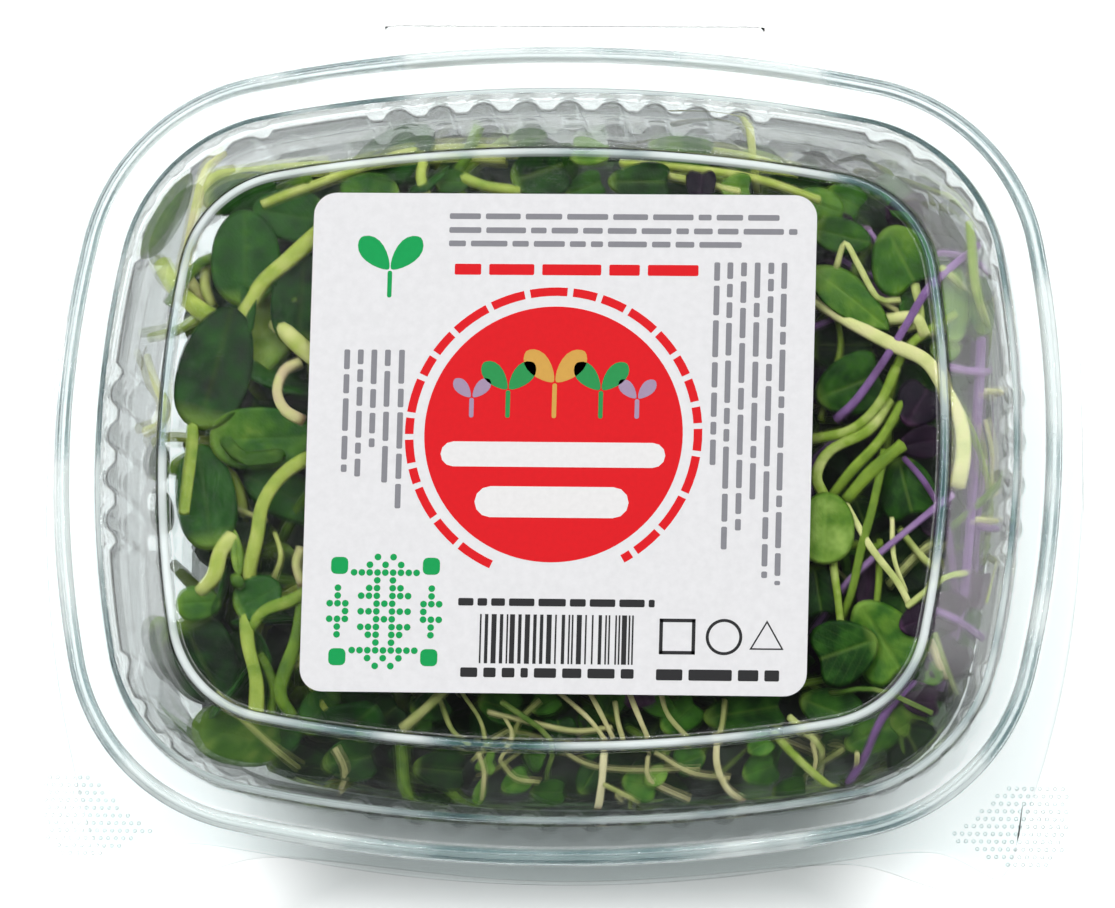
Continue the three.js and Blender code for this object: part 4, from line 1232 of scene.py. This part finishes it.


# plant tissue: living leaf and stem, waxy
def shootMaterial(name, leaf, stem, tip, veins):  # leaf and stem are ramps by the tone of each part
    made, tree = newMaterial(name)
    place = addNode(tree, "TexCoord")
    blade = addNode(tree, "Attribute", attribute_name="blade").outputs["Fac"]
    tone = addNode(tree, "Attribute", attribute_name="tone").outputs["Fac"]
    # 4 mm patches in the leaf
    mottle = addNode(tree, "TexNoise", {"Vector": place.outputs["Object"], "Scale": 260.0, "Detail": 2.0})
    # cells, drawn at 0.5 mm so that they show
    fine = addNode(tree, "TexNoise", {"Vector": place.outputs["Object"], "Scale": 2200.0, "Detail": 0.0})
    shift = addNode(tree, "Math", {0: mottle.outputs["Fac"], 1: 0.5}, operation="SUBTRACT")
    shade = addNode(tree, "Math", {0: shift, 1: 0.8, 2: tone}, operation="MULTIPLY_ADD")
    leafColour = addNode(tree, "ValToRGB", {"Fac": shade}, leaf)
    uv = addNode(tree, "SeparateXYZ", {0: place.outputs["UV"]})
    off = addNode(tree, "Math", {0: uv.outputs["Y"], 1: 0.5}, operation="SUBTRACT")
    away = addNode(tree, "Math", {0: off}, operation="ABSOLUTE")
    slant = addNode(tree, "Math", {0: away, 1: -0.9, 2: uv.outputs["X"]}, operation="MULTIPLY_ADD")
    sideVein = addNode(tree, "Math", {0: slant, 1: 7.0}, operation="MULTIPLY")
    saw = addNode(tree, "Math", {0: sideVein, 1: 0.5}, operation="PINGPONG")
    sideLine = addNode(tree, "MapRange", {"Value": saw, "From Max": 0.09, "To Min": 1.0, "To Max": 0.0})
    midLine = addNode(tree, "MapRange", {"Value": away, "From Min": 0.01, "From Max": 0.045, "To Min": 1.0,
                                         "To Max": 0.0})
    baseGlow = addNode(tree, "MapRange", {"Value": uv.outputs["X"], "From Min": 0.02, "From Max": 0.2,
                                          "To Min": 1.0, "To Max": 0.0})
    sideSoft = addNode(tree, "Math", {0: sideLine, 1: 0.35}, operation="MULTIPLY")
    lines = addNode(tree, "Math", {0: midLine, 1: sideSoft}, operation="MAXIMUM")
    lineShare = addNode(tree, "Math", {0: lines, 1: veins}, operation="MULTIPLY")
    pale = addNode(tree, "Math", {0: lineShare, 1: baseGlow}, operation="MAXIMUM")
    paleShare = addNode(tree, "Math", {0: pale, 1: 0.7}, operation="MULTIPLY")
    veined = addNode(tree, "Mix", {0: paleShare, 6: leafColour, 7: linear(tip)}, data_type="RGBA")
    stemShade = addNode(tree, "Math", {0: shift, 1: 0.4, 2: tone}, operation="MULTIPLY_ADD")
    stemColour = addNode(tree, "ValToRGB", {"Fac": stemShade}, stem)
    cutEnd = addNode(tree, "MapRange", {"Value": uv.outputs["X"], "From Min": 0.9, "From Max": 1.0})
    oldStem = addNode(tree, "MapRange", {"Value": tone, "From Min": 0.84, "From Max": 0.9, "To Min": 0.0,
                                         "To Max": 0.8})
    brown = addNode(tree, "Math", {0: cutEnd, 1: oldStem}, operation="MULTIPLY")
    stemEnd = addNode(tree, "Mix", {0: brown, 6: stemColour, 7: linear("8a5a3a")}, data_type="RGBA")
    colour = addNode(tree, "Mix", {0: blade, 6: stemEnd.outputs[2], 7: veined.outputs[2]}, data_type="RGBA")
    depth = addNode(tree, "SeparateXYZ", {0: place.outputs["Object"]}).outputs["Z"]
    # painted shade: darker deep in the heap, where the upper shoots shade them
    paintedDepthShade = addNode(tree, "MapRange", {"Value": depth, "From Min": 0.030, "From Max": 0.041,
                                        "To Min": 0.22, "To Max": 1.0})
    withPaintedShade = addNode(tree, "Mix", {0: paintedDepthShade, 6: linear("0a1c08"), 7: colour.outputs[2]}, data_type="RGBA")
    rough = addNode(tree, "MapRange", {"Value": mottle.outputs["Fac"], "To Min": 0.26, "To Max": 0.42})
    relief = addNode(tree, "Math", {0: lines, 1: -0.8, 2: fine.outputs["Fac"]}, operation="MULTIPLY_ADD")
    bump = addNode(tree, "Bump", {"Height": relief, "Strength": 0.25, "Distance": 0.0003})
    skin = addNode(tree, "BsdfPrincipled", {
        "Base Color": withPaintedShade.outputs[2], "Roughness": rough, "Normal": bump.outputs["Normal"],
        "IOR": 1.42, "Specular IOR Level": 0.16})
    addNode(tree, "OutputMaterial", {"Surface": skin})
    return made


# packed wet leaves: painted shade, almost black, on top, where deep shade falls, and leaf green where they
# press on the walls, with painted shade where they meet
def coreMaterial():
    made, tree = newMaterial("packedLeafShade")
    place = addNode(tree, "TexCoord").outputs["Object"]
    patch = addNode(tree, "TexVoronoi", {"Vector": place, "Scale": 150.0})  # 7 mm folds
    paintedDeepShade = addNode(tree, "ValToRGB", {"Fac": patch.outputs["Distance"]},
                   [(0.0, "1c3416"), (0.6, "0c1a0c"), (1.0, "050a05")])
    leaf = addNode(tree, "TexVoronoi", {"Vector": place, "Scale": 95.0})  # 10 mm leaves against the wall
    each = addNode(tree, "SeparateXYZ", {0: leaf.outputs["Color"]}).outputs["X"]
    leafTone = addNode(tree, "ValToRGB", {"Fac": each}, [(0.0, "1d4212"), (0.35, "33621c"), (0.6, "517f2a"),
                                                         (0.85, "86a548"), (1.0, "4c2f4e")])
    # painted shade: each leaf against the wall darkens towards its edges, where it meets the next
    rim = addNode(tree, "ValToRGB", {"Fac": leaf.outputs["Distance"]},
                  [(0.25, "ffffff"), (0.62, "5a6a48"), (0.8, "1c2614")])
    leaves = addNode(tree, "Mix", {0: 1.0, 6: leafTone, 7: rim}, data_type="RGBA", blend_type="MULTIPLY")
    height = addNode(tree, "SeparateXYZ", {0: place}).outputs["Z"]
    atWall = addNode(tree, "MapRange", {"Value": height, "From Min": 0.031, "From Max": 0.026})
    both = addNode(tree, "Mix", {0: atWall, 6: paintedDeepShade, 7: leaves.outputs[2]}, data_type="RGBA")
    tone = both.outputs[2]
    bump = addNode(tree, "Bump", {"Height": patch.outputs["Distance"], "Strength": 0.8, "Distance": 0.002})
    skin = addNode(tree, "BsdfPrincipled", {"Base Color": tone, "Roughness": 0.6,
                                            "Normal": bump.outputs["Normal"]})
    addNode(tree, "OutputMaterial", {"Surface": skin})
    return made


shootLooks = {
    "sunflower": shootMaterial("sunflowerShootTissue", [(0.0, "061a07"), (0.25, "143c0e"), (0.5, "27591a"),
                                                        (0.72, "4f7b24"), (1.0, "90aa4a")],
                               [(0.3, "365c16"), (0.5, "74932f"), (0.7, "b3c058"), (0.88, "dcdb8e"),
                                (1.0, "d9c49a")], "84a63c", 0.1),
    "radish": shootMaterial("radishShootTissue", [(0.0, "051a06"), (0.25, "173e0c"), (0.5, "356519"),
                                                  (0.75, "648a2a"), (1.0, "9db85a")],
                            [(0.3, "42681a"), (0.6, "8aa338"), (0.85, "e2e198"),
                             (1.0, "ecdfaa")], "92b24c", 0.28),
    "purple": shootMaterial("purpleShootTissue", [(0.0, "12081a"), (0.3, "271427"), (0.6, "452b45"),
                                                  (1.0, "8a6f8a")],
                            [(0.35, "583a5e"), (0.6, "88629a"), (1.0, "c0a0c4")], "6e4768", 0.2),
    "cress": shootMaterial("cressShootTissue", [(0.0, "071807"), (0.3, "1a430e"), (0.6, "437a1e"),
                                                (1.0, "8cb348")],
                           [(0.3, "4e6e26"), (0.6, "a0a660"), (0.85, "d0c78e"),
                            (1.0, "ebe1b2")], "92b24a", 0.2),
}


def nearLeft(p):
    return smoothStep(5, -35, p[:, 0])


def nearRight(p):
    return smoothStep(-15, 25, p[:, 0]) * (0.35 + 0.65 * smoothStep(-70, -30, p[:, 1]))


def farRight(p):
    return smoothStep(30, 60, p[:, 0]) * smoothStep(65, 30, p[:, 1])


def nearFront(p):
    return 0.15 + 0.85 * smoothStep(-15, -45, p[:, 1])


core = greensCore()
core.data.materials.append(coreMaterial())
scatter = scatterTree()
plan = {
    "sunflower": {"shape": sunflower, "thick": 0.85, "weight": nearLeft,
                  "lay": {"Density": 9000.0, "Spacing": 0.0085, "Lift": 0.002, "Tilt": 0.3, "Seed": 4}},
    "radish": {"shape": radish, "thick": 0.55, "weight": nearRight,
               "lay": {"Density": 9000.0, "Spacing": 0.0085, "Lift": 0.002, "Tilt": 0.3, "Seed": 7}},
    "purple": {"shape": purple, "thick": 0.45, "weight": farRight,
               "lay": {"Density": 4000.0, "Spacing": 0.014, "Lift": 0.003, "Tilt": 0.3, "Seed": 9}},
    "cress": {"shape": cress, "thick": 0.35, "weight": nearFront,
              "lay": {"Density": 9000.0, "Spacing": 0.0085, "Lift": 0.002, "Tilt": 0.3, "Seed": 12}},
}
greens = {}
for number, (name, task) in enumerate(plan.items()):
    bunch = newBunch()
    layShown(bunch, task["shape"], task["thick"], 20 + number)
    shelf = shootVariants(name, 8, 40 + number)
    look = shootLooks[name]
    scattered = scatterOver(core, scatter, name + "Scatter", task["weight"], Shoots=shelf, Material=look,
                            **task["lay"])
    greens[name] = joinShoots(name + "_shoots", bunch, scattered, look, heapShape["leftGap"])
print("greens made")


# label: coated paper with generic print, all as thin ink shapes
labelShape = {
    "centre": (-0.1, 0.7),
    "top": 47.85,
    "ink": 0.025,
    "discCentre": (-1.1, 1.7),
    "discRadius": 25.6,
    "ringRadius": 28.6,
    "ringHalf": 0.85,
    "seed": 5,
    "rows": ((45.4, 42.6), (42.6, 46.2), (39.9, 36.4)),  # height and right end of the grey rows
    # x and lower end
    "leftColumns": ((-31.6, -13.4), (-34.4, -8.4), (-37.1, -1.2), (-39.8, -7.1), (-42.5, -6.2)),
    "rightColumns": ((43.8, -28.0), (41.2, -26.6), (38.5, -11.0), (35.8, -17.2), (33.1, -21.0), (30.5, -4.2)),
    "dotField": (-33.6, -34.0),
    "dotPitch": 1.55,
    "barWidths": (0.33, 0.33, 0.66, 0.99),
}


# shapes are outlines in label millimetres, each a closed flat prism
def inkPiece(name, shapes, colour, level=1):
    points, faces = [], []
    low = labelShape["top"] + (level - 1) * labelShape["ink"] - 0.004
    high = labelShape["top"] + level * labelShape["ink"]
    for outline in shapes:
        outline = np.asarray(outline, float) + np.array(labelShape["centre"])
        area = np.sum(outline[:, 0] * np.roll(outline[:, 1], -1) - outline[:, 1] * np.roll(outline[:, 0], -1))
        if area < 0:
            outline = outline[::-1]
        n, start = len(outline), len(points)
        points += [(x, y, low) for x, y in outline] + [(x, y, high) for x, y in outline]
        faces.append(tuple(start + n + i for i in range(n)))
        faces.append(tuple(start + i for i in reversed(range(n))))
        faces += [(start + i, start + (i + 1) % n, start + n + (i + 1) % n, start + n + i) for i in range(n)]
    made = newMesh(name, points, faces, smooth=False)
    # offset ink on coated paper: even, a little glossier than the sheet
    material, tree = newMaterial(name + "Ink")
    place = addNode(tree, "TexCoord").outputs["Object"]
    grain = addNode(tree, "TexNoise", {"Vector": place, "Scale": 900.0})  # 1 mm mottle of the ink
    tone = addNode(tree, "MapRange", {"Value": grain.outputs["Fac"], "To Min": 0.94, "To Max": 1.06})
    tinted = addNode(tree, "Mix", {0: 1.0, 6: linear(colour), 7: tone}, data_type="RGBA",
                     blend_type="MULTIPLY")
    ink = addNode(tree, "BsdfPrincipled", {"Base Color": tinted.outputs[2], "Roughness": 0.45,
                                           "Specular IOR Level": 0.18})
    addNode(tree, "OutputMaterial", {"Surface": ink})
    made.data.materials.append(material)
    return made


def bar(x, y, width, height, corner=0.0, turned=0.0):
    corner = min(corner, width / 2, height / 2)
    found = []
    for cx, cy, start in ((1, 1, 0), (-1, 1, 90), (-1, -1, 180), (1, -1, 270)):
        steps = (0,) if corner == 0 else (0, 30, 60, 90)
        for a in steps:
            angle = math.radians(start + a)
            found.append((cx * (width / 2 - corner) + corner * math.cos(angle),
                          cy * (height / 2 - corner) + corner * math.sin(angle)))
    c, s = math.cos(math.radians(turned)), math.sin(math.radians(turned))
    return [(x + c * u - s * v, y + s * u + c * v) for u, v in found]


def disc(x, y, radius, sides=48):
    return [(x + radius * math.cos(2 * math.pi * k / sides), y + radius * math.sin(2 * math.pi * k / sides))
            for k in range(sides)]


def roundQuad(x, y, inner, outer, a, b):  # a short piece of a ring, from angle a to angle b
    corners = ((inner, a), (outer, a), (outer, b), (inner, b))
    return [(x + r * math.cos(t), y + r * math.sin(t)) for r, t in corners]


def ringParts(x, y, inner, outer, sides=40):
    turns = [2 * math.pi * k / sides for k in range(sides + 1)]
    return [roundQuad(x, y, inner, outer, a, b) for a, b in zip(turns, turns[1:])]


def leafShape(x, y, length, width, heading):
    found = []
    for k in range(20):
        a = 2 * math.pi * k / 20
        u = 0.5 * length * (1 + math.cos(a))
        v = 0.5 * width * math.sin(a) * (1 + 0.3 * math.cos(a)) * abs(math.sin(a)) ** 0.25
        h = math.radians(heading)
        found.append((x + math.cos(h) * u - math.sin(h) * v, y + math.sin(h) * u + math.cos(h) * v))
    return found


# a line of print as plain dashes of uneven length
def brokenLine(rng, start, end, height, down=False, word=(2.0, 9.0), gap=0.9):
    found, (x, y), way = [], start, -1 if down else 1
    place = y if down else x
    while way * place <= way * end - 0.8:
        length = min(rng.uniform(*word), abs(end - place))
        middle = place + way * length / 2
        if length > 0.7:
            found.append(bar(x, middle, height, length, 0.3) if down else bar(middle, y, length, height, 0.3))
        place += way * (length + gap)
    return found


def labelPrint():
    rng = random.Random(labelShape["seed"])
    cx, cy = labelShape["discCentre"]
    made = []
    grey = []
    for y, end in labelShape["rows"]:
        grey += brokenLine(rng, (-22.9, y), end, 1.15, word=(2.4, 8.5), gap=1.0)
    for key, top, longest in (("leftColumns", 18.4, 7.5), ("rightColumns", 36.4, 8.5)):
        for x, end in labelShape[key]:
            grey += brokenLine(rng, (x, top), end, 1.15, down=True, word=(2.2, longest), gap=1.0)
    made.append(inkPiece("label_print_grey", grey, "85858b"))

    red = [disc(cx, cy, labelShape["discRadius"], 120)]
    red += brokenLine(rng, (-21.6, 34.7), 26.8, 2.2, word=(5.0, 13.0), gap=1.6)
    angle = 246.0
    while angle > -60:
        sweep = rng.uniform(5, 15)
        sweep = min(sweep, angle + 60)
        steps = max(2, int(sweep / 3))
        inner, outer = (labelShape["ringRadius"] + way * labelShape["ringHalf"] for way in (-1, 1))
        for k in range(steps):
            a, b = math.radians(angle - sweep * k / steps), math.radians(angle - sweep * (k + 1) / steps)
            red.append(roundQuad(cx, cy, inner, outer, a, b))
        angle -= sweep + 2.3
    made.append(inkPiece("label_print_red", red, "da0816"))

    white = [bar(cx, cy - 4.1, 44.5, 5.0, 2.5), bar(cx, cy - 13.6, 30.5, 6.2, 3.1)]
    made.append(inkPiece("label_print_white", white, "e4e3e3", level=2))

    green, gold, lilac = [], [], []
    base = cy + 3.2
    sprouts = ((gold, 0, 14.5, 7.2), (green, -9.2, 11.5, 6.2), (green, 9.2, 11.5, 6.2),
               (lilac, -16.4, 8.2, 4.2), (lilac, 16.4, 8.2, 4.2))
    for shelf, away, height, spread in sprouts:
        x = cx + away
        shelf.append(bar(x, base + height * 0.24, 0.9, height * 0.48, 0.4))
        for side in (1, -1):
            shelf.append(leafShape(x + side * 0.25, base + height * 0.5, spread * 1.15, spread * 0.62,
                                   90 - side * 42))
    made.append(inkPiece("label_print_gold", gold, "cf9f4a", level=2))
    made.append(inkPiece("label_print_lilac", lilac, "a28da9", level=2))

    (fieldX, fieldY), pitch, half = labelShape["dotField"], labelShape["dotPitch"], 7
    pattern = []
    for i in range(-half, half + 1):
        for j in range(-half, half + 1):
            ring = max(abs(i), abs(j))
            key = random.Random(abs(i) * 31 + abs(j) * 7 + labelShape["seed"])
            if ring >= 6 and abs(i) > 3 and abs(j) > 3:
                continue
            if key.random() < 0.56:
                pattern.append(disc(fieldX + i * pitch, fieldY + j * pitch, 0.68, 12))
    for sx in (-1, 1):
        for sy in (-1, 1):
            pattern.append(bar(fieldX + sx * 9.1, fieldY + sy * 9.1, 3.4, 3.4, 1.0))
    for side in (-1, 1):
        pattern.append(leafShape(-34.5 + side * 0.25, 34.6, 8.6, 4.6, 90 - side * 42))
    pattern.append(bar(-34.5, 31.6, 0.9, 5.4, 0.4))
    made.append(inkPiece("label_print_green", pattern, "009c50"))
    made.append(inkPiece("label_print_sprouts", green, "24904c", level=2))

    dark = brokenLine(rng, (-19.0, -31.9), 19.8, 1.5, word=(1.5, 6.0), gap=0.8)
    place = -14.6
    while place < 15.8:
        width = rng.choice(labelShape["barWidths"])
        dark.append(bar(place + width / 2, -39.2, width, 9.8))
        place += width + rng.choice(labelShape["barWidths"])
    dark += brokenLine(rng, (-18.2, -45.9), 16.0, 1.9, word=(1.2, 8.0), gap=1.2)
    dark += brokenLine(rng, (20.4, -46.0), 44.6, 2.2, word=(4.0, 9.0), gap=1.2)
    dark += ringParts(33.6, -38.4, 3.0, 3.6)
    dark += [bar(24.4, -35.2, 7.0, 0.7), bar(24.4, -41.6, 7.0, 0.7), bar(21.2, -38.4, 0.7, 7.0),
             bar(27.6, -38.4, 0.7, 7.0)]
    for k in range(3):
        a, b = math.radians(90 + 120 * k), math.radians(210 + 120 * k)
        dark.append(roundQuad(42.0, -38.9, 3.3, 3.9, a, b))
    made.append(inkPiece("label_print_dark", dark, "28282a"))
    return made


def labelPaper():
    material, tree = newMaterial("coatedLabelPaper")  # smooth white stock with a faint fibre
    place = addNode(tree, "TexCoord").outputs["Object"]
    fibre = addNode(tree, "TexNoise", {"Vector": place, "Scale": 700.0, "Detail": 4.0})  # 1.4 mm cloudiness
    tone = addNode(tree, "ValToRGB", {"Fac": fibre.outputs["Fac"]}, [(0.3, "dcdcde"), (0.7, "e2e2e4")])
    bump = addNode(tree, "Bump", {"Height": fibre.outputs["Fac"], "Strength": 0.08, "Distance": 0.0002})
    sheet = addNode(tree, "BsdfPrincipled", {"Base Color": tone, "Roughness": 0.5,
                                             "Normal": bump.outputs["Normal"]})
    addNode(tree, "OutputMaterial", {"Surface": sheet})
    return material


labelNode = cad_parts["label"]
labelNode.data.materials.clear()
labelNode.data.materials.append(labelPaper())
printed = labelPrint()
print("label made")


# floor and soft studio light
studio = {
    "floor": "f7f8f8",
    "opening": 0.05,  # radiance overhead, where the camera looks in
    "band": 3.05,  # of the bright band round the opening
    "shoulder": 1.3,
    "walls": 0.6,
    "floorGlow": 0.66,  # the floor glows evenly as a bright backdrop, but a painted shadow keeps it dark at the pack's front foot
    "frontShare": 0.08,  # how bright the front is beside the rest
    "floorHalf": 4000,
    "strips": {"backStrip": (-100, 1200, 700), "leftStrip": (-1300, 100, 700), "rightStrip": (1300, 0, 700)},
    "stripSize": (1000, 30),
    "stripPower": 3.5,
    "lightPaths": {"max_bounces": 6, "transmission_bounces": 6, "transparent_max_bounces": 20,
                   "diffuse_bounces": 1, "glossy_bounces": 2,
                   "caustics_reflective": False, "caustics_refractive": False},
}


def studioFloor():
    corners = [(x * studio["floorHalf"], y * studio["floorHalf"], -0.1)
               for x, y in ((-1, -1), (1, -1), (1, 1), (-1, 1))]
    made = newMesh("floor", corners, [(0, 1, 2, 3)], smooth=False)
    material, tree = newMaterial("mattPaperFloor")
    place = addNode(tree, "TexCoord").outputs["Object"]
    fleck = addNode(tree, "TexNoise", {"Vector": place, "Scale": 4.0})  # 250 mm clouds in the paper
    tone = addNode(tree, "ValToRGB", {"Fac": fleck.outputs["Fac"]}, [(0.3, "f4f5f5"), (0.7, studio["floor"])])
    # painted shadow: the glow is left out in a band along the pack's front foot
    spot = addNode(tree, "SeparateXYZ", {0: place}).outputs
    side = addNode(tree, "Math", {0: spot["X"]}, operation="ABSOLUTE")
    beside = addNode(tree, "MapRange", {"Value": side, "From Min": 0.042, "From Max": 0.078},
                     interpolation_type="SMOOTHSTEP")
    before = addNode(tree, "MapRange", {"Value": spot["Y"], "From Min": -0.078, "From Max": -0.098},
                     interpolation_type="SMOOTHSTEP")
    behind = addNode(tree, "MapRange", {"Value": spot["Y"], "From Min": -0.05, "From Max": -0.03},
                     interpolation_type="SMOOTHSTEP")
    outsidePaintedShadowBand = addNode(tree, "Math", {0: before, 1: behind}, operation="MAXIMUM")
    withPaintedShade = addNode(tree, "Math", {0: outsidePaintedShadowBand, 1: beside}, operation="MAXIMUM")
    glow = addNode(tree, "Math", {0: withPaintedShade, 1: studio["floorGlow"]}, operation="MULTIPLY")
    paper = addNode(tree, "BsdfPrincipled", {"Base Color": tone, "Roughness": 0.9, "Specular IOR Level": 0.1,
        "Emission Color": linear("ffffff"), "Emission Strength": glow})
    addNode(tree, "OutputMaterial", {"Surface": paper})
    made.data.materials.append(material)
    return made


def studioWorld():  # a pale tent lit from behind, with a dark opening overhead
    world = bpy.data.worlds.new("lightTent")
    scene.world = world
    world.use_nodes = True
    tree = world.node_tree
    tree.nodes.clear()
    way = addNode(tree, "TexCoord").outputs["Generated"]
    parts = addNode(tree, "SeparateXYZ", {0: way}).outputs
    most = studio["band"]

    def grey(value):  # a share of the band
        return (value / most, value / most, value / most, 1)

    shade = addNode(tree, "ValToRGB", {"Fac": parts["Z"]}, [
        (0.0, grey(studio["walls"])), (0.55, grey(studio["walls"])), (0.68, grey(studio["shoulder"])),
        (0.83, grey(most)), (0.94, grey(most)), (0.962, grey(studio["opening"]))])
    toBack = addNode(tree, "MapRange", {"Value": parts["Y"], "From Min": -0.24, "From Max": 0.06,
                                        "To Min": studio["frontShare"], "To Max": 1.0},
                     interpolation_type="SMOOTHSTEP")
    level = addNode(tree, "Math", {0: toBack, 1: most}, operation="MULTIPLY")
    glow = addNode(tree, "Background", {"Color": shade, "Strength": level})
    addNode(tree, "OutputWorld", {"Surface": glow})


def softBox(name, place, size, power, target=(0, 0, 30)):
    lamp = bpy.data.lights.new(name, "AREA")
    lamp.shape = "RECTANGLE"
    lamp.size, lamp.size_y = size[0] * mm, size[1] * mm
    lamp.energy = power
    made = bpy.data.objects.new(name, lamp)
    scene.collection.objects.link(made)
    made.location = Vector(place) * mm
    made.rotation_euler = (Vector(target) - Vector(place)).to_track_quat("-Z", "Y").to_euler()
    return made


studioFloor()
studioWorld()
for name, place in studio["strips"].items():
    softBox(name, place, studio["stripSize"], studio["stripPower"])
scene.view_settings.view_transform = "Standard"
for name, value in studio["lightPaths"].items():
    setattr(scene.cycles, name, value)
print("studio made")

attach(lidShell, "lid")
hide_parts("lid")
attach(trayShell, "tray")
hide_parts("tray")
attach(hinge, "tray")
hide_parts("hinge_fold")
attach(grips, "lid")

for ink in printed:
    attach(ink, "lid")
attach(core, "tray")
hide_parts("greens")
for shoots in greens.values():
    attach(shoots, "tray")
